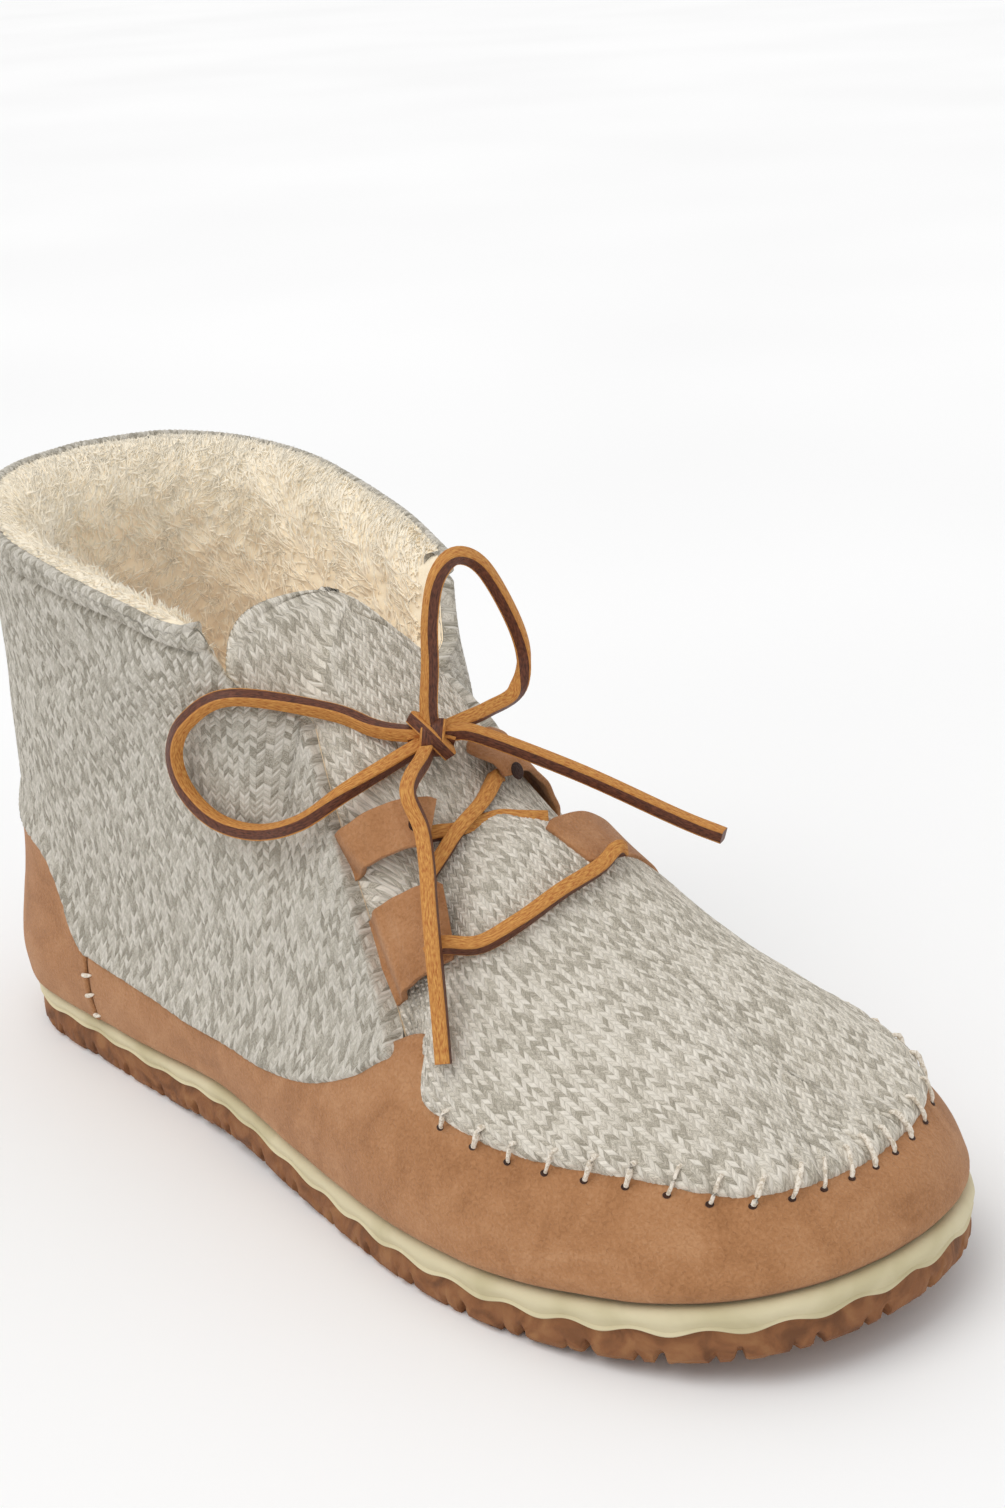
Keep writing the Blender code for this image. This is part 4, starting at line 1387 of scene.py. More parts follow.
@dataclass
class Sole:
    """The outsole with its leaf-like facets and lugs, and the cream midsole band."""

    columns: int = 900
    rim: float = 0.0080
    wave_pitch: float = 0.0145
    wave_height: float = 0.0007
    thinner: float = 0.0009
    lug_pitch: float = 0.0150
    lug_depth: float = 0.0018
    lug_notch: float = 0.0013
    small_notch: float = 0.0009
    side_rows: int = 15
    bottom_shares: tuple = (0.0, 0.3, 0.6, 0.85, 1.0)
    leaf_pitch: float = 0.0105
    cross_pitch: float = 0.0168
    leaf_relief: float = 0.0003
    # the midsole's side: metres out, and share of its height
    profile: tuple = (
        (0.0002, 0.00), (0.0007, 0.03), (0.0009, 0.08), (0.0007, 0.14), (0.0005, 0.20), (0.0007, 0.32),
        (0.0010, 0.46), (0.0011, 0.60), (0.0009, 0.74), (0.0004, 0.87), (-0.0003, 0.96), (-0.0012, 1.0),
    )

    def turns(self) -> Array:
        """Gives turns at even steps along the sole's edge, alike on both sides.

        Returns:
            The turns.
        """
        fine = np.linspace(0, 1, 2001)
        arc = LAST.arc_to(fine)
        side = np.interp(np.linspace(0, arc[-1], self.columns // 2 + 1), arc, fine)
        return np.concatenate([side, 2 - side[-2::-1]])

    def side_arc(self, turns: Array) -> Array:
        """Gives the length from the heel along either side."""
        return np.where(turns > 1, LAST.arc_to(2.0) - LAST.arc_to(turns), LAST.arc_to(turns))

    def wave(self, turns: Array) -> Array:
        """Gives the wavy line between outsole and midsole.

        Args:
            turns: Where round the foot.

        Returns:
            Heights over the straight joint, in metres.
        """
        whole = float(LAST.arc_to(1.0))
        pitch = whole / round(whole / self.wave_pitch)
        arc = self.side_arc(turns)
        wobble = 0.25 * np.sin(arc / 0.0231 + 1.3) + 0.2 * np.sin(arc / 0.0097)
        behind = 1 - ramp(0.40, 0.62, one_side(turns))
        height = self.wave_height * (1 - 0.45 * behind)
        return height * (np.cos(2 * np.pi * arc / pitch + wobble) + 0.25 * wobble) + self.thinner * behind

    def notches(self, turns: Array) -> Array:
        """Gives how far each place is inside a notch between lugs, from 0 to 1.

        Args:
            turns: Where round the foot.

        Returns:
            Shares from 0 to 1.
        """
        whole = float(LAST.arc_to(1.0))
        pitch = whole / round(whole / self.lug_pitch)
        arc = self.side_arc(turns)
        off = np.abs(np.mod(arc, pitch) - pitch / 2)
        small = np.abs(np.mod(arc + 0.31 * pitch, pitch) - pitch / 2)
        deep = 1 - ramp(0.3, 1.0, off / self.lug_notch)
        return np.maximum(deep, 0.55 * (1 - ramp(0.2, 1.0, small / self.small_notch)))

    def ring(self, turns: Array, out: Value, z: Array) -> Array:
        """Gives points beside the sole's edge."""
        plan = LAST.edge(turns) + LAST.outward(turns) * np.broadcast_to(out, turns.shape)[..., None]
        return np.concatenate([plan, z[..., None]], -1) + MIDDLE

    def spine(self, turns: Array, share: float, out: Value, z: Array) -> Array:
        """Gives a ring that is drawn in towards the sole's middle line.

        Args:
            turns: Where round the foot.
            share: 0 at the middle line, 1 at the edge.
            out: How far the outer ring is outside the edge.
            z: The heights.

        Returns:
            Points in metres.
        """
        edge = self.ring(turns, out, z)
        other = self.ring(2 - turns, np.broadcast_to(out, turns.shape)[::-1], z)
        return (edge + other) / 2 + (edge - other) / 2 * share

    def facets(self, turns: Array, high: float) -> Array:
        """Gives the relief of the outsole's side, like overlapping leaves.

        Args:
            turns: Where round the foot.
            high: The share of the side's height.

        Returns:
            How far out, in metres.
        """
        arc = self.side_arc(turns)
        leaf = np.mod(arc / self.leaf_pitch + 0.9 * high + 0.35 * np.sin(arc / 0.017), 1.0)
        other = np.mod(arc / self.cross_pitch - 1.2 * high + 0.4 * np.sin(arc / 0.011 + 2), 1.0)
        relief = self.leaf_relief * (leaf**0.7) * np.sin(np.pi * min(high * 1.15, 1.0))
        return relief + self.leaf_relief * other * (1 - high) - 0.0004

    def build(self) -> None:
        """Makes outsole and midsole."""
        turns = self.turns()
        x = LAST.edge(turns)[:, 0]
        low = LAST.ground(x)
        joint = low + LAST.outsole
        notch = self.notches(turns)
        lift = low + notch * self.lug_depth
        rings = [self.spine(turns, s, -self.rim, low) for s in self.bottom_shares]
        rings += [self.ring(turns, -0.004, low + 0.0001), self.ring(turns, -0.0022 - notch * 0.0006, lift)]
        for high in np.linspace(0, 1, self.side_rows):
            bulge = 0.0003 * np.sin(np.pi * high) - (1 - ramp(0, 0.22, high)) * 0.0009
            out = self.facets(turns, high) + bulge - notch * 0.0012 * (1 - ramp(0.15, 0.5, high))
            out = np.where(high > 0.93, -0.0002, out) + 0.0003
            rings.append(self.ring(turns, out, lift + (joint + self.wave(turns) - lift) * high))
        rings.append(self.ring(turns, -0.0030, joint - 0.0009))
        rings += [self.spine(turns, s, -self.rim, joint - 0.0012) for s in (1.0, 0.0)]
        self.finish("outsole_lugged", rings, Slot.RUBBER, RubberFinish().build(), "outsole")
        top = LAST.sole_top(x)
        rings = [self.spine(turns, s, -self.rim, joint - 0.0004) for s in (0.0, 1.0)]
        wavy = joint + self.wave(turns) + 0.0001
        rings.append(self.ring(turns, -0.0022, wavy + 0.0002))
        for out, high in self.profile:
            rings.append(self.ring(turns, out, wavy + (top - wavy) * high))
        rings += [self.spine(turns, s, -self.rim, top - 0.0001) for s in (1.0, 0.0)]
        self.finish("midsole_band", rings, Slot.FOAM, FoamFinish().build(), "midsole")

    def finish(self, name: str, rings: Sequence[Array], slot: Slot, paint: Material, node: str) -> None:
        """Lays one layer of the sole over its rings.

        Args:
            name: The piece's name.
            rings: Rings from the bottom's middle line to the top's.
            slot: Its slot.
            paint: Its material.
            node: The node that it replaces.
        """
        piece = laid(name, np.stack(rings, 1))
        merged(piece, 2e-6)
        only(piece)
        bpy.ops.object.shade_smooth_by_angle(angle=0.8)
        dressed(piece, slot, paint, stands_for=[node])


# ---------------------------------------------------------------------------------- knit


def stitch_relief(across: Array, along: Array, lean: float = 0.95) -> Array:
    """Gives the height of plain knitting, from 0 to 1.

    Args:
        across: Columns of stitches.
        along: Rows of stitches.
        lean: How far a leg climbs over half a column.

    Returns:
        The heights.
    """
    side = np.abs(np.mod(across, 1) - 0.5) * 2
    off = np.mod(along - lean * side, 1) - 0.5
    strand = np.sqrt(np.maximum(1 - (1.9 * off) ** 2, 0))
    rib = np.sqrt(np.maximum(1 - (1.9 * (side - 0.5)) ** 2, 0))
    return strand * (0.75 + 0.25 * rib)


@dataclass
class Quarters:
    """The knit round heel and sides, in one piece, with its collar turned over.

    A seam and a hump are given by how far they lie below the collar and how wide they are.
    """

    columns: int = 560
    rows: int = 146
    stitch: float = 0.0026
    course: float = 0.0019
    relief: float = 0.0005
    lift: float = 0.0008
    over_suede: float = 0.0024
    roll: float = 0.0014
    roll_rows: int = 11
    tuck_rows: int = 4
    roll_step: float = 0.26
    collar_seam: tuple = (0.0058, 0.0007)
    collar_hump: tuple = (0.0029, 0.0020)
    seam_depth: float = 0.0011
    hump_height: float = 0.0005
    foot_sunk: float = 0.0022
    front_sunk: float = 0.0037

    def front(self, rise: Array) -> Array:
        """Gives the turn of the front edge at a rise."""
        rows = sorted((r, t) for t, r in LAST.front)
        return np.interp(rise, *np.array(rows).T)

    def grid(self, columns: int, rows: Sequence[float], low: Callable, most: float) -> tuple[Array, Array]:
        """Spreads a grid over the quarters.

        Args:
            columns: How many columns it has.
            rows: Shares of the height, from 0 to 1.
            low: Gives the rise of the lower edge at a turn.
            most: The farthest turn of the front edge.

        Returns:
            Turns and rises, [column][row].
        """
        side = np.linspace(-1, 1, columns)[:, None]
        share = np.asarray(rows)[None]
        turn = side * 0.5 + 0 * share
        for _ in range(40):
            base = low(turn)
            rise = base + (1 - base) * share
            turn = 0.5 * turn + 0.5 * side * np.minimum(self.front(rise), most)
        return turn, rise

    def build(self, knit: Material) -> None:
        """Makes the quarters with the roll at the collar and the turned-in edges.

        Args:
            knit: The knit's material.
        """
        shares = np.linspace(0, 1, self.rows)
        turn, rise = self.grid(self.columns, shares, LAST.suede_edge, 0.613)
        base = LAST.skin(turn, rise, 0.0)
        tall = lengths(base, 1)
        tall = tall - tall[:, -1:]
        wide = LAST.arc_to(turn) / self.stitch
        high = tall / self.course
        above = tall - tall[:, :1]
        reach = lengths(base, 0)
        near_front = np.minimum(reach, reach[-1:] - reach)
        seam, hump = bell(-tall, *self.collar_seam), bell(-tall, *self.collar_hump)
        lift = self.lift + (self.over_suede - self.lift) * (1 - ramp(0.0, 0.011, above))
        lift = lift + stitch_relief(wide, high) * self.relief * (1 - 0.8 * seam)
        lift = lift - self.seam_depth * seam + self.hump_height * hump
        lift = lift - LAST.dents(base) + 0.0004 * rough(base, 0.022)
        lift = lift - self.foot_sunk * (1 - ramp(0.0, 0.0016, above))
        lift = lift - self.front_sunk * (1 - ramp(0.0, 0.0024, near_front))
        points = LAST.skin(turn, rise, lift)
        out = unit(LAST.normal(turn[:, -1:], rise[:, -1:]) * np.array((1.0, 1.0, 0.0)))
        extra = np.arange(1, self.roll_rows + self.tuck_rows + 1) * self.roll * self.roll_step / self.course
        angles = np.linspace(0, np.pi, self.roll_rows + 1)[1:]
        bumps = stitch_relief(wide[:, -1:], high[:, -1:] + extra[: self.roll_rows])
        size = self.roll + (bumps - 0.5) * self.relief * 0.7
        middle = points[:, -1:] - out * self.roll
        over = out * (np.cos(angles) * size)[..., None] + UPRIGHT * (np.sin(angles) * size)[..., None]
        rolled = middle + over
        inside = rolled[:, -1:] - UPRIGHT * np.linspace(0.001, 0.004, self.tuck_rows)[:, None]
        points = np.concatenate([points, rolled, inside], 1)
        across = np.concatenate([wide, np.repeat(wide[:, -1:], len(extra), 1)], 1)
        along = np.concatenate([high, high[:, -1:] + extra[None]], 1)
        piece = laid("knit_quarters", points, np.stack([across, along], -1))
        dressed(piece, Slot.KNIT, knit, stands_for=["upper", "collar_binding"])


@dataclass
class Apron:
    """The knit over toe and instep: the raised plug and the tongue in one sheet."""

    top_rows: int = 44
    along: int = 336
    half: int = 120
    stitch: float = 0.0021
    course: float = 0.0016
    relief: float = 0.00035
    top_turn: float = 0.530
    edge_turn: float = 0.632
    plug_lift: float = 0.0040
    tongue_lift: float = -0.0028
    stitches: int = 13
    side_round: float = 0.0030
    side_drop: float = 0.0026
    puff: float = 0.0007
    pulled_in: float = 0.0008
    top_round: float = 0.0016
    top_drop: float = 0.0013
    top_seam: tuple = (0.0048, 0.0007)
    seam_depth: float = 0.0008
    # row that the turned-in edge follows, and metres under it
    tucks: tuple = ((34, 0.0022), (20, 0.0024), (8, 0.0022), (2, 0.0014))

    def way_back(self) -> Array:
        """Gives the way up the instep towards the tongue's top."""
        return unit(LAST.crest(0.50) - LAST.crest(0.55))

    def edge_rise(self, turn: Array) -> Array:
        """Gives the rise of the sheet's side edge.

        Args:
            turn: Where round the foot.

        Returns:
            The rises.
        """
        side = through(LAST.tongue_side, turn)
        plug = LAST.line(LAST.mudguard_line, LAST.mudguard_height, turn) - 0.038
        return side + (plug - side) * ramp(0.605, 0.632, turn)

    def spread(self, top_rows: int, along: int, half: int, end: float) -> tuple[Array, Array, Array]:
        """Spreads a grid over tongue and plug.

        Args:
            top_rows: How many rows the tongue's rounded top has.
            along: How many rows the rest has.
            half: How many columns each side has.
            end: The turn of the last row.

        Returns:
            Turns on one side, rises, and the share across, [row][column].
        """
        back = np.linspace(self.top_turn, end, 1201)
        pace = lengths(LAST.skin(back, self.edge_rise(back), 0.0), 0) * 0.6
        pace = pace + lengths(LAST.skin(back, np.ones(1201), 0.0), 0) * 0.4
        turns = np.interp(np.linspace(0, pace[-1], along), pace, back)
        out = np.linspace(-1, 1, 2 * half + 1)
        turn = turns[:, None] + 0 * out
        rise = 1 - (1 - self.edge_rise(turn)) * np.abs(out)
        table = np.array(LAST.tongue_top)
        share = np.linspace(1, 0, top_rows, endpoint=False)[:, None]
        top_turn = turn[0] + (through(table[:, [0, 1]], out) - turn[0]) * share
        top_rise = rise[0] + (through(table[:, [0, 2]], out) - rise[0]) * share
        return np.concatenate([top_turn, turn]), np.concatenate([top_rise, rise]), out

    def stands(self, top_rows: int, rows: int, out: Array) -> Array:
        """Gives how far the tongue's top stands over the throat, as a grid of vectors.

        Args:
            top_rows: How many rows the tongue's rounded top has.
            rows: How many rows the sheet has.
            out: The share across of each column.

        Returns:
            Vectors in metres, [row][column].
        """
        table = np.array(LAST.tongue_top)
        high = through(table[:, [0, 3]], out) * LAST.tongue_stands
        share = np.clip(1 - np.arange(rows) / (0.7 * top_rows), 0, 1)
        return (share[:, None] * high)[..., None] * self.way_back()

    def build(self, knit: Material) -> None:
        """Makes the sheet, with its top turned over to the inside.

        Args:
            knit: The knit's material.
        """
        base_turn, rise, out = self.spread(self.top_rows, self.along, self.half, 1.0)
        turn = np.where(out > 0, 2 - base_turn, base_turn)
        base = self.relaxed(LAST.skin(turn, rise, 0.0), out, base_turn)
        spine = LAST.skin(base_turn, 1 + 0 * rise, 0.0)
        ridge_arc = lengths(base[:, self.half : self.half + 1], 0)
        half_arc = lengths(base, 1)
        from_ridge = np.abs(half_arc - half_arc[:, self.half : self.half + 1])
        way = (base - spine)[..., :2] * (np.abs(out) > 1e-6)[:, None]
        way[..., 0] *= ramp(0.56, 0.66, base_turn)
        way = unit(way)
        wide = way[..., 1] * from_ridge / self.stitch
        above = lengths(base, 0) - lengths(base, 0)[self.top_rows]
        ahead = np.where(above < 0, ridge_arc[self.top_rows] + above, ridge_arc + way[..., 0] * from_ridge)
        tall = -ahead / self.course
        start = base[self.top_rows, self.half]
        back = self.way_back()
        along = (base - start) @ back
        ridge = base[:, self.half]
        ridge_along = (ridge - start) @ back
        order = np.argsort(ridge_along)
        at_ridge = np.stack([np.interp(along, ridge_along[order], ridge[order, k]) for k in range(3)], -1)
        chord = base - at_ridge
        plain = 1 - ramp(0.535, 0.60, base_turn)
        flat = np.sign(out) * np.linalg.norm(chord, axis=-1) / self.stitch
        wide = wide + (flat - wide) * plain
        tall = tall + ((along - ridge_arc[self.top_rows]) / self.course - tall) * plain
        to_side = np.minimum(half_arc, half_arc[:, -1:] - half_arc)
        from_top = lengths(base, 0)
        plug = ramp(0.600, 0.640, base_turn)
        pucker = self.pucker(base_turn)
        side_fall = self.side_drop * (1 - shoulder(to_side, self.side_round))
        puff = self.puff * bell(to_side, 0.0050, 0.0035) * (1 - 0.9 * pucker)
        pulled = self.pulled_in * pucker * bell(to_side, 0.0, 0.005)
        seam = bell(from_top, *self.top_seam)
        lift = self.tongue_lift + (self.plug_lift - self.tongue_lift) * plug - self.seam_depth * seam
        lift = lift + plug * (puff - side_fall - pulled)
        lift = lift - self.top_drop * (1 - shoulder(from_top, self.top_round))
        lift = lift - LAST.dents(base) * plug + 0.0004 * rough(base, 0.018)
        points = LAST.skin(turn, rise, lift) + self.stands(self.top_rows, len(turn), out)
        points = self.relaxed(points, out, base_turn)
        normal = unit(np.cross(np.gradient(points, axis=1), np.gradient(points, axis=0)))
        normal = normal * np.sign((normal * LAST.normal(turn, rise)).sum(-1, keepdims=True))
        points = points + normal * (stitch_relief(wide, tall) * self.relief * (1 - 0.7 * seam))[..., None]
        under = [points[k] - normal[k] * deep for k, deep in self.tucks]
        points = np.concatenate([under, points])
        wide = np.concatenate([wide[: len(under)], wide])
        tall = np.concatenate([tall[:1] + np.arange(len(under), 0, -1)[:, None] * 0.8, tall])
        piece = laid("knit_apron", points, np.stack([wide, tall], -1))
        merged(piece, 1e-5)
        dressed(piece, Slot.KNIT, knit, stands_for=["plug", "tongue"])

    def relaxed(self, points: Array, out: Array, turn: Array) -> Array:
        """Smooths the sheet across the tongue and over the ridge.

        Args:
            points: The sheet's points.
            out: The share across of each column.
            turn: The turn of each point on one side.

        Returns:
            The smoothed points.
        """
        waves = np.polynomial.legendre.legvander(out, 6)
        fit = waves @ (np.linalg.pinv(waves) @ points)
        points = points + (fit - points) * (1 - ramp(0.585, 0.640, turn))[..., None]
        middle = len(out) // 2
        share = 1 - ramp(14, 40, np.abs(np.arange(len(out)) - middle))[None, :, None]
        for _ in range(140):
            mean = 0.5 * (points[:, :-2] + points[:, 2:])
            points[:, 1:-1] += 0.5 * share[:, 1:-1] * (mean - points[:, 1:-1])
        return points

    def pucker(self, turn: Array) -> Array:
        """Gives 1 where a whip stitch pulls the edge in, and 0 between.

        Args:
            turn: Where round the foot.

        Returns:
            Shares from 0 to 1.
        """
        arc = LAST.arc_to(turn)
        start, end = float(LAST.arc_to(self.edge_turn)), float(LAST.arc_to(1.0))
        place = (arc - start) / (end - start) * (self.stitches - 0.5)
        return (0.5 + 0.5 * np.cos(2 * np.pi * (place - 0.5))) ** 3 * (turn > self.edge_turn - 0.01)


@dataclass
class WhipStitches:
    """Cream stitches over the plug's edge, each into a hole in the suede."""

    radius: float = 0.00054
    holes: float = 0.00065
    slant: float = 0.0085
    hole_lift: float = 0.00195
    # along a stitch: metres over the plug's edge, metres over the last, and whether it varies
    path: tuple = (
        (-0.0017, 0.0014, 0), (-0.0013, 0.0025, 0), (-0.0006, 0.0032, 0), (0.0004, 0.0040, 0),
        (0.0015, 0.0049, 0), (0.0025, 0.0054, 1), (0.0031, 0.0044, 1),
    )

    def places(self, apron: Apron) -> list[float]:
        """Gives the turns of the stitches, all round the toe.

        Args:
            apron: The sheet of tongue and plug.

        Returns:
            The turns.
        """
        start, end = float(LAST.arc_to(apron.edge_turn)), float(LAST.arc_to(1.0))
        fine = np.linspace(0, 1, 2001)
        arcs = start + (np.arange(apron.stitches) + 0.5) / (apron.stitches - 0.5) * (end - start)
        side = np.interp(np.minimum(arcs, end), LAST.arc_to(fine), fine)
        return [*side.tolist(), *(2 - side[:-1]).tolist()]

    def build(self, apron: Apron, yarn: Material, dark: Material) -> None:
        """Makes the stitches and the holes.

        Args:
            apron: The sheet that they hold.
            yarn: The stitches' material.
            dark: The holes' material.
        """
        bpy.ops.object.select_all(action="DESELECT")
        bpy.ops.mesh.primitive_cylinder_add(vertices=8, radius=1.0, depth=1.0)
        seed = bpy.context.object
        sliced(seed, np.linspace(-0.42, 0.42, 8))
        shape = seed_points(seed)
        copies, spots = [], []
        for n, turn in enumerate(self.places(apron)):
            line, hole, out = self.thread(apron, turn, n)
            copies.append(self.bent(shape, line, n))
            spots.append((hole, out))
        dressed(many("whip_stitches", seed, copies), Slot.KNIT, yarn)
        # Each hole is a flat dark disc on the suede: painted shadow of the hole's inside.
        seed = ball(12, 6)
        shape = seed_points(seed)
        copies = [flattened(shape, hole, out, self.holes, 1.3, 0.22) for hole, out in spots]
        dressed(many("stitch_holes", seed, copies), Slot.SUEDE, dark)

    def thread(self, apron: Apron, turn: float, n: int) -> tuple[Array, Array, Array]:
        """Gives one stitch's line, its hole and the way out there.

        Args:
            apron: The sheet that it holds.
            turn: Where it is.
            n: Its number.

        Returns:
            The line, the hole's place and the outward way.
        """
        edge = float(apron.edge_rise(np.array(float(one_side(turn)))))
        step = 0.05
        tall = float(np.linalg.norm(LAST.skin(turn, edge, 0.0) - LAST.skin(turn, edge - step, 0.0))) / step
        reach = 1 + 0.18 * np.sin(n * 2.3)
        climb, lift, varies = np.array(self.path).T
        rise = edge + climb * np.where(varies > 0, reach, 1.0) / tall
        across = turn + self.slant * np.linspace(0, 1, len(self.path)) * reach
        hole = LAST.skin(across[0], rise[0], self.hole_lift)
        return LAST.skin(across, rise, lift), hole, LAST.normal(across[0], rise[0])

    def bent(self, shape: Array, line: Array, n: int) -> Array:
        """Bends the seed along a line.

        Args:
            shape: The seed's points.
            line: The line.
            n: The stitch's number.

        Returns:
            The bent points.
        """
        arc = lengths(line, 0)
        place = (shape[:, 2] + 0.5) * arc[-1]
        centre = np.stack([np.interp(place, arc, line[:, k]) for k in range(3)], 1)
        ahead = unit(np.stack([np.interp(place, arc, np.gradient(line[:, k])) for k in range(3)], 1))
        side = unit(np.cross(ahead, (0.13, 0.31, 0.94)))
        up = np.cross(ahead, side)
        thick = self.radius * (0.9 + 0.2 * np.sin(n * 1.7)) * (1 - 0.25 * np.abs(2 * shape[:, 2]) ** 3)
        lobes = 1 + 0.16 * np.cos(2 * (np.arctan2(shape[:, 1], shape[:, 0]) + shape[:, 2] * 7))
        return centre + (side * shape[:, :1] + up * shape[:, 1:2]) * (thick * lobes)[:, None]


# --------------------------------------------------------------------------------- suede


@dataclass(frozen=True)
class Tab:
    """One eye tab.

    Attributes:
        name: Which one it is.
        corners: Turn and rise of its corners, base first.
        rises: How much higher its tip is than its base, in metres.
        slope: The shares of its length between which it rises.
        sunk: How much lower it lies, in metres.
        crumple: How strongly it waves.
        hole: Where the lace goes through, in millimetres, or nothing where no hole shows.
    """

    name: str
    corners: tuple
    rises: float
    slope: tuple
    sunk: float
    crumple: float
    hole: tuple = ()


@dataclass
class Suede:
    """The mudguard, the heel counter with its side seams, and the four eye tabs."""

    thickness: float = 0.0013
    mudguard_lift: float = 0.0019
    counter_lift: float = 0.0022
    under_knit: float = 0.0040
    hole_radius: float = 0.0019
    hole_shift: float = 0.72
    base_sunk: float = 0.0034
    seam_heights: tuple = (0.0035, 0.0085, 0.0135)
    seam_lift: float = 0.0026
    seam_stitch: tuple = (0.0024, 0.00055, 0.0006)
    tabs: tuple = (
        Tab("outer_upper", ((0.533, 0.500), (0.556, 0.510), (0.596, 0.695), (0.590, 0.785)),
            0.0024, (0.0, 0.9), 0.0, 0.15, (25.0, -13.6, 81.2)),
        Tab("outer_lower", ((0.567, 0.470), (0.596, 0.410), (0.630, 0.575), (0.609, 0.665)),
            0.0024, (0.0, 0.9), 0.0, 0.15, (44.4, -30.6, 67.9)),
        Tab("inner_upper", ((1.467, 0.50), (1.444, 0.455), (1.399, 0.88), (1.415, 0.95)),
            0.0012, (0.45, 0.9), 0.0012, 1.0, (21.3, 5.5, 86.4)),
        Tab("inner_lower", ((1.412, 0.40), (1.394, 0.33), (1.343, 0.885), (1.369, 0.925)),
            0.0030, (0.0, 0.55), 0.0, 0.15),
    )

    def band(self, name: str, turns: Array, rows: int, lift: float, paint: Material, node: str) -> None:
        """Lays a band of suede that stands on the sole.

        Args:
            name: The piece's name.
            turns: Its columns.
            rows: How many rows it has.
            lift: How far its face is over the last.
            paint: Its material.
            node: The node that it replaces.
        """
        foot = LAST.feather(turns)[:, 2]
        top = LAST.suede_edge(turns)
        extra = LAST.rise_at(turns, LAST.surface(turns, top)[..., 2] + self.under_knit) - top
        top = top + np.clip(extra, 0, 0.08)
        share = np.linspace(0, 1, rows)
        low = LAST.rise_at(turns, foot + 0.0002)
        rise = low[:, None] * (1 - share) + top[:, None] * share
        turn = turns[:, None] + 0 * rise
        base = LAST.skin(turn, rise, 0.0)
        tall = lengths(base, 1)
        inner = np.ones(turn.shape)
        inner[[0, -1]] = 0.0
        end = np.abs(one_side(turn) - LAST.counter_turn) * 0.42
        lifts = lift + 0.0002 * rough(base, 0.012) - 0.6 * LAST.dents(base)
        lifts = lifts - 0.0004 * (1 - ramp(0, 0.0009, end)) - 0.0008 * (1 - ramp(0.0, 0.0016, tall))
        lifts = lifts - 0.0013 * ramp(0.0, 0.03, rise - LAST.suede_edge(turn))
        lifts = lifts + 0.0005 * bell(tall, 0.003, 0.0022) * inner
        piece = laid(name, LAST.skin(turn, rise, lifts))
        modified(piece, "SOLIDIFY", thickness=self.thickness, offset=-1.0)
        dressed(piece, Slot.SUEDE, paint, stands_for=[node])

    def build(self, paint: Material, yarn: Material, dark: Material) -> None:
        """Makes every suede piece and the counter's stitches.

        Args:
            paint: The material.
            yarn: The stitches' material.
            dark: The holes' material.
        """
        front = np.linspace(0.3002, 1.6998, 520)
        self.band("suede_mudguard", front, 40, self.mudguard_lift, paint, "mudguard")
        back = np.linspace(-0.2998, 0.2998, 240)
        self.band("suede_counter", back, 60, self.counter_lift, paint, "heel_counter")
        for tab in self.tabs:
            self.tab(tab, paint, dark)
        self.seam(yarn)

    def corner(self, corners: Sequence, along: Array, across: Array) -> tuple[Array, Array]:
        """Gives turn and rise inside four corners, base first.

        Args:
            corners: Turn and rise of the four corners.
            along: The share from base to tip.
            across: The share from side to side.

        Returns:
            The turns and the rises.
        """
        a, b, c, d = (np.array(v) for v in corners)
        base = a + (b - a) * across[..., None]
        tip = d + (c - d) * across[..., None]
        at = base + (tip - base) * along[..., None]
        return at[..., 0], at[..., 1]

    def tab(self, tab: Tab, paint: Material, dark: Material) -> None:
        """Makes one eye tab, with its punched hole where that shows.

        Args:
            tab: Which tab it is.
            paint: Its material.
            dark: The hole's material.
        """
        along = np.linspace(-0.16, 1, 44)[None, :]
        across = np.linspace(0, 1, 30)[:, None]
        across = across if tab.corners[0][0] < 1 else across[::-1]
        pinch = 0.5 + (across - 0.5) * (1 - 0.12 * ramp(0.9, 1.0, along) ** 2)
        turn, rise = self.corner(tab.corners, along + 0 * across, pinch)
        rising = tab.rises * ramp(*tab.slope, along) - tab.sunk
        lift = 0.0004 + rising + self.thickness - self.base_sunk * (1 - ramp(-0.10, 0.16, along))
        wave = np.sin(across * 5.5 + along * 4.0 + 0.6) * ramp(0.15, 0.8, along) * 0.0011 * tab.crumple
        lift = lift + wave + 0.00015 * np.sin(along * 21)
        piece = laid(f"suede_tab_{tab.name}", LAST.skin(turn, rise, lift))
        modified(piece, "SOLIDIFY", thickness=self.thickness, offset=-1.0)
        modified(piece, "BEVEL", width=0.0003, segments=2, limit_method="ANGLE")
        dressed(piece, Slot.SUEDE, paint, stands_for=[f"eye_tab_{tab.name}"])
        if tab.hole:
            self.hole(piece, tab, dark)

    def hole(self, piece: Piece, tab: Tab, dark: Material) -> None:
        """Makes the punched hole that the lace goes through.

        Args:
            piece: The tab's mesh.
            tab: Which tab it is.
            dark: The hole's material.
        """
        middle = seed_points(piece).mean(0)
        lace = middle + (np.array(tab.hole) / 1000 + MIDDLE - middle) * self.hole_shift
        top = [v for v in piece.data.vertices if v.normal.z > 0.3]
        near = min(top, key=lambda v: float(np.linalg.norm(np.array(v.co) - lace)))
        at, out = np.array(near.co), np.array(near.normal)
        # The hole is a flat dark disc on the tab: painted shadow of the hole's inside.
        disc = ball(20, 8)
        disc.name = disc.data.name = f"lace_hole_{tab.name}"
        placed = flattened(seed_points(disc), at, out, self.hole_radius, 1.0, 0.10)
        disc.data.vertices.foreach_set("co", placed.astype(np.float32).ravel())
        bpy.ops.object.shade_smooth()
        dressed(disc, Slot.SUEDE, dark)

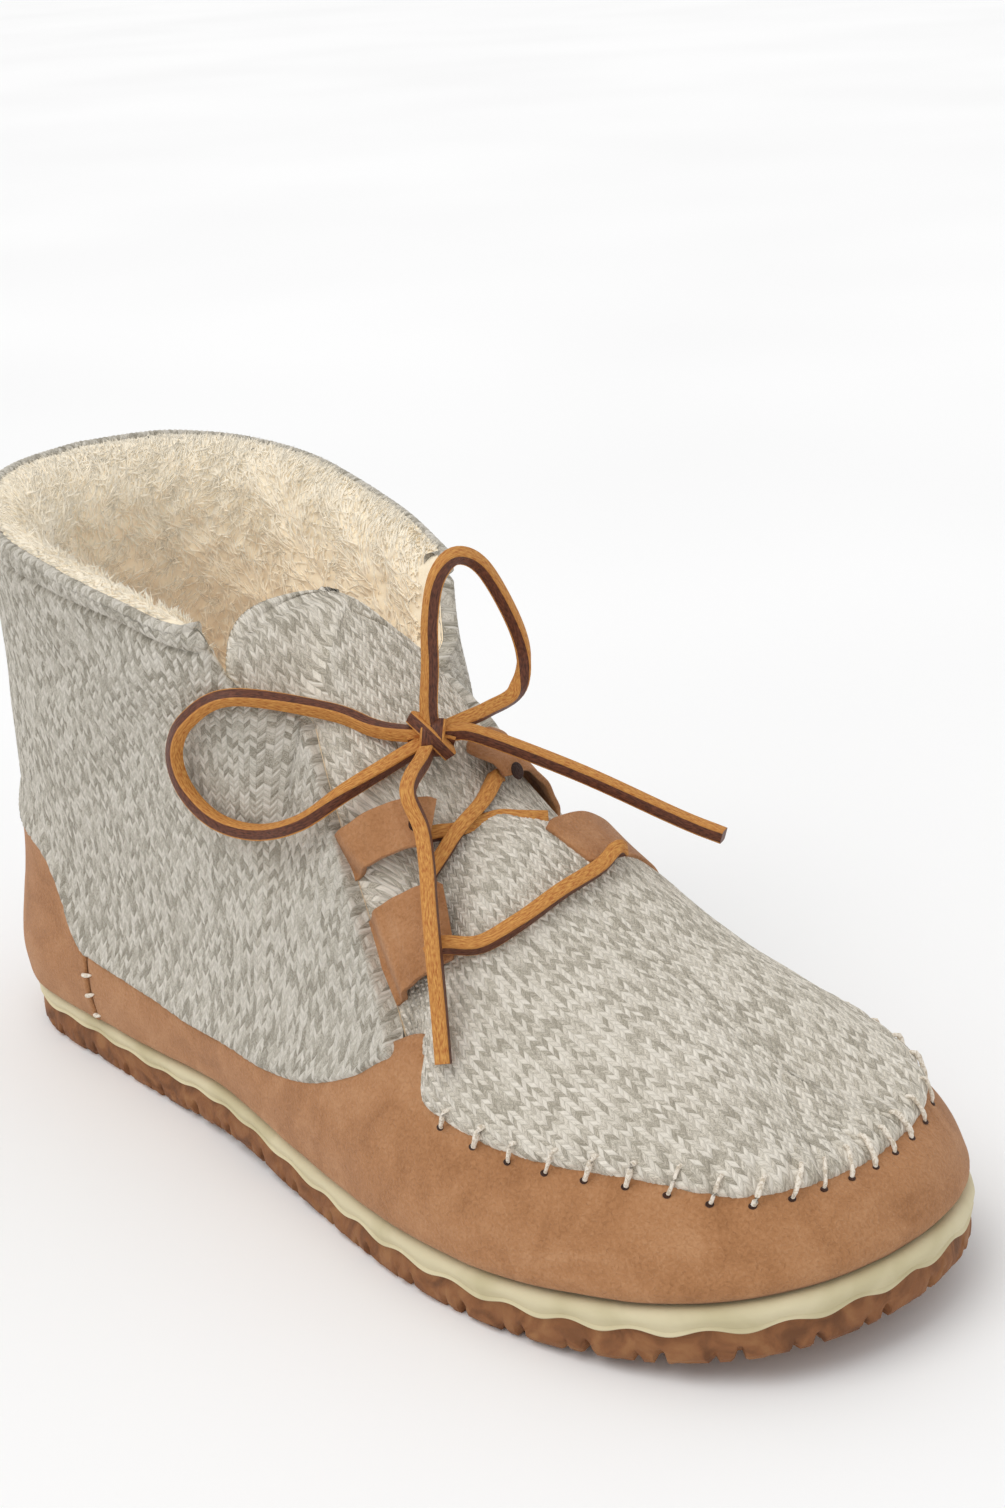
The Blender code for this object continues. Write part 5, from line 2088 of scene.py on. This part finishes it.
    def seam(self, yarn: Material) -> None:
        """Makes the three stitches over each of the counter's side seams.

        Args:
            yarn: The stitches' material.
        """
        seed = ball(10, 8)
        shape = seed_points(seed)
        long, wide, thick = self.seam_stitch
        copies = []
        for side in (1, -1):
            turn = np.mod(side * LAST.counter_turn, 2)
            for n, height in enumerate(self.seam_heights):
                rise = LAST.rise_at(turn, LAST.sole_top(LAST.edge(turn)[..., 0]) + height)
                middle, before, behind = (
                    LAST.skin(turn + step, rise, self.seam_lift) for step in (0.0, 0.01, -0.01)
                )
                out = LAST.normal(turn, rise)
                ahead = unit(before - behind)
                along = unit(ahead + 0.35 * side * np.cross(out, ahead) * (1 if n % 2 else 0.6))
                flat = shape[:, :1] * along * long + shape[:, 1:2] * np.cross(out, along) * wide
                high = shape[:, 2:] * thick - shape[:, :1] ** 2 * 0.0008 * 0.9
                copies.append(middle + flat + high * out)
        dressed(many("counter_stitches", seed, copies), Slot.KNIT, yarn)


# ---------------------------------------------------------------------------------- pile


@dataclass
class Pile:
    """The deep pile lining, its locks and the footbed.

    The last sizes say where locks start, how far they stay off the front edge, over what
    lengths the lining rounds off, and how deep and how far in its other parts lie.
    """

    columns: int = 300
    rows: int = 120
    depth: float = 0.0085
    at_heel: float = 0.0030
    locks: int = 13000
    lock_length: float = 0.0052
    lock_width: float = 0.0010
    first_row: int = 45
    bare_front: float = 0.0045
    barer_inside: float = 0.004
    top_round: float = 0.011
    front_round: float = 0.013
    front_sunk: float = 0.0012
    tongue_depth: float = 0.0045
    toe_depth: float = 0.0062
    toe_turns: tuple = (0.585, 1.415)
    footbed_inset: float = 0.0042
    footbed_height: float = 0.0068
    seed: int = 7

    def inside(self, quarters: Quarters) -> tuple[Array, Array, Array, Array]:
        """Spreads the lining's grid.

        Args:
            quarters: The knit that it lines.

        Returns:
            Turns, rises, points and the distance from the front edge, [column][row].
        """
        shares = np.linspace(0, 1, self.rows) ** 0.8
        turn, rise = quarters.grid(self.columns, shares, lambda t: 0.04 + 0 * t, 0.60)
        base = LAST.skin(turn, rise, 0.0)
        from_top = np.maximum(lengths(base, 1)[:, -1:] - lengths(base, 1), 0)
        reach = lengths(base, 0)
        near_front = np.minimum(reach, reach[-1:] - reach)
        thicker = (1 - ramp(0.1, 0.40, one_side(turn))) * (1 - ramp(0.02, 0.05, from_top))
        deep = self.depth + self.at_heel * thicker
        thick = deep * (0.03 + 0.97 * shoulder(from_top, self.top_round))
        thick = thick * shoulder(near_front, self.front_round)
        thick = thick * (1 + 0.13 * rough(base, 0.014) + 0.10 * rough(base, 0.005))
        sunk = 0.0008 + self.front_sunk * (1 - ramp(0.0, 0.003, near_front))
        points = LAST.skin(turn, rise, -sunk - thick)
        points[..., 2] += 0.0006 * (1 - ramp(0.0, 0.008, from_top))
        return turn, rise, points, near_front

    def build(self, quarters: Quarters, apron: Apron) -> None:
        """Makes lining, tongue lining, footbed and locks.

        Args:
            quarters: The knit that it lines.
            apron: The sheet of tongue and plug.
        """
        ground = PileFinish("pile_ground", "FAEDD3", "DDBD8C").build()
        hair = PileFinish("pile_hair", "FFF4DF", "E6C99B").build()
        turn, rise, points, near_front = self.inside(quarters)
        dressed(laid("pile_lining", points[::-1]), Slot.PILE, ground)
        self.tongue(apron, ground)
        self.toe(ground)
        self.footbed(ground)
        self.hairs(turn, rise, points, near_front, hair)

    def tongue(self, apron: Apron, paint: Material) -> None:
        """Makes the pile on the tongue's inside.

        Args:
            apron: The sheet of tongue and plug.
            paint: The material.
        """
        one, rise, out = apron.spread(14, 40, 30, 0.62)
        turn = np.where(out > 0, 2 - one, one)
        base = LAST.skin(turn, rise, 0.0)
        from_top = lengths(base, 0)
        thick = self.tongue_depth * shoulder(from_top, 0.007) * (1 + 0.2 * rough(base, 0.007))
        points = LAST.skin(turn, rise, apron.tongue_lift - 0.0016 - thick)
        points = apron.relaxed(points + apron.stands(14, len(points), out) * 0.8, out, one)
        dressed(laid("pile_tongue", points[::-1]), Slot.PILE, paint)

    def toe(self, paint: Material) -> None:
        """Makes the lining of the forefoot, which shows only from inside.

        Args:
            paint: The material.
        """
        turn = np.linspace(*self.toe_turns, 140)[:, None]
        share = np.linspace(0, 1, 30)[None]
        rise = 0.03 + (0.985 - 0.03) * share + 0 * turn
        base = LAST.skin(turn, rise, 0.0)
        lift = -self.toe_depth - 0.0012 * rough(base, 0.009)
        lift = lift - 0.003 * (1 - ramp(0.60, 0.66, one_side(turn)))
        piece = laid("pile_toe", LAST.skin(turn, rise, lift)[::-1])
        dressed(piece, Slot.PILE, paint)

    def footbed(self, paint: Material) -> None:
        """Makes the soft footbed over the insole.

        Args:
            paint: The material.
        """
        fine = np.linspace(0, 1, 181)
        turns = np.concatenate([fine, 2 - fine[-2::-1]])
        inset = np.concatenate([LAST.outward(turns) * self.footbed_inset, np.zeros((len(turns), 1))], 1)
        edge = LAST.feather(turns) - inset
        other = edge[::-1]
        rings = [(edge + other) / 2 + (edge - other) / 2 * share + MIDDLE for share in np.linspace(0, 1, 46)]
        points = np.stack(rings, 1)
        uneven = 0.0012 * rough(points, 0.012) + 0.0006 * rough(points, 0.004)
        points[..., 2] += self.footbed_height + uneven
        points[:, -1, 2] -= 0.0035
        under = points[:, -1:] - UPRIGHT * 0.003
        piece = laid("pile_footbed", np.concatenate([points, under], 1)[::-1])
        merged(piece, 2e-5)
        dressed(piece, Slot.PILE, paint, stands_for=["insole"])

    def hairs(
        self, turn: Array, rise: Array, points: Array, near_front: Array, paint: Material
    ) -> None:
        """Scatters small bent locks over the upper part of the lining.

        Args:
            turn: The lining's turns.
            rise: The lining's rises.
            points: The lining's points.
            near_front: Their distance from the front edge.
            paint: The locks' material.
        """
        chance = np.random.default_rng(self.seed)
        bpy.ops.object.select_all(action="DESELECT")
        bpy.ops.mesh.primitive_cone_add(
            vertices=3, radius1=0.5, radius2=0.0, depth=1.0, end_fill_type="NOTHING"
        )
        seed = bpy.context.object
        sliced(seed, (0.0,))
        shape = seed_points(seed)
        columns, rows = turn.shape
        low, count = self.first_row, self.locks
        i = chance.integers(1, columns - 1, count)
        j = low + ((rows - 2 - low) * (1 - chance.random(count) ** 1.5 * 0.99)).astype(int)
        kept = near_front[i, j] > self.bare_front + self.barer_inside * (turn[i, j] > 0)
        i, j = i[kept], j[kept]
        count = len(i)
        root = points[i, j] + (points[i + 1, j] - points[i, j]) * chance.random((count, 1))
        out = -LAST.normal(turn[i, j], rise[i, j])
        slope = unit(points[i, j + 1] - points[i, j - 1])
        aside = np.cross(out, slope)
        cloud = np.sin(root[:, :1] * 260 + root[:, 2:] * 190) * 0.5
        lean = chance.normal(0, 0.35, (count, 1)) + cloud
        rising = chance.normal(0, 0.35, (count, 1))
        flow = unit(out * 0.42 + slope * (0.75 + rising) + aside * lean)
        wider = lean + chance.normal(0, 0.3, (count, 1))
        droop = unit(out * 0.10 + slope * (0.55 + rising) + aside * wider)
        calm = 0.45 + 0.55 * ramp(0, 12, rows - 1 - j)[:, None]
        size = (self.lock_length * calm * (0.6 + 0.7 * chance.random((count, 1))))[..., None]
        width = (self.lock_width * (0.7 + 0.8 * chance.random((count, 1))))[..., None]
        side = unit(np.cross(flow, aside + 0.3 * slope))
        up = np.cross(flow, side)
        high = (shape[:, 2:] + 0.5)[None]
        spine = root[:, None] + flow[:, None] * (high - 0.25) * size
        spine = spine + (droop - flow)[:, None] * high**2 * size * 0.55
        copies = spine + (side[:, None] * shape[None, :, :1] + up[:, None] * shape[None, :, 1:2]) * width
        dressed(many("pile_locks", seed, list(copies)), Slot.PILE, paint)


# ---------------------------------------------------------------------------------- main


def main() -> None:
    """Builds camera, lace, sole, suede, knit and pile in that order."""
    logging.basicConfig(level=logging.INFO, format="%(relativeCreated)d ms %(message)s")
    bpy.ops.object.select_all(action="DESELECT")
    Studio().build()
    Lacing().build()
    Sole().build()
    knit, suede, yarn = KnitFinish().build(), SuedeFinish().build(), YarnFinish().build()
    # The quarters take a darker copy of the knit: painted shade, as the sides catch less light than the plug.
    shaded_side_knit = KnitFinish("shaded_side_knit", 0.95, "8F897B", "B0A99B", "CBC5B8", "DDD7CC").build()
    # The holes' dark colour is painted shadow.
    dark = SuedeFinish("hole_shadow", "2A1810", "3A2115", "4A2B1B").build()
    quarters, apron = Quarters(), Apron()
    Suede().build(suede, yarn, dark)
    apron.build(knit)
    WhipStitches().build(apron, yarn, dark)
    quarters.build(shaded_side_knit)
    Pile().build(quarters, apron)


if __name__ == "__main__":
    main()
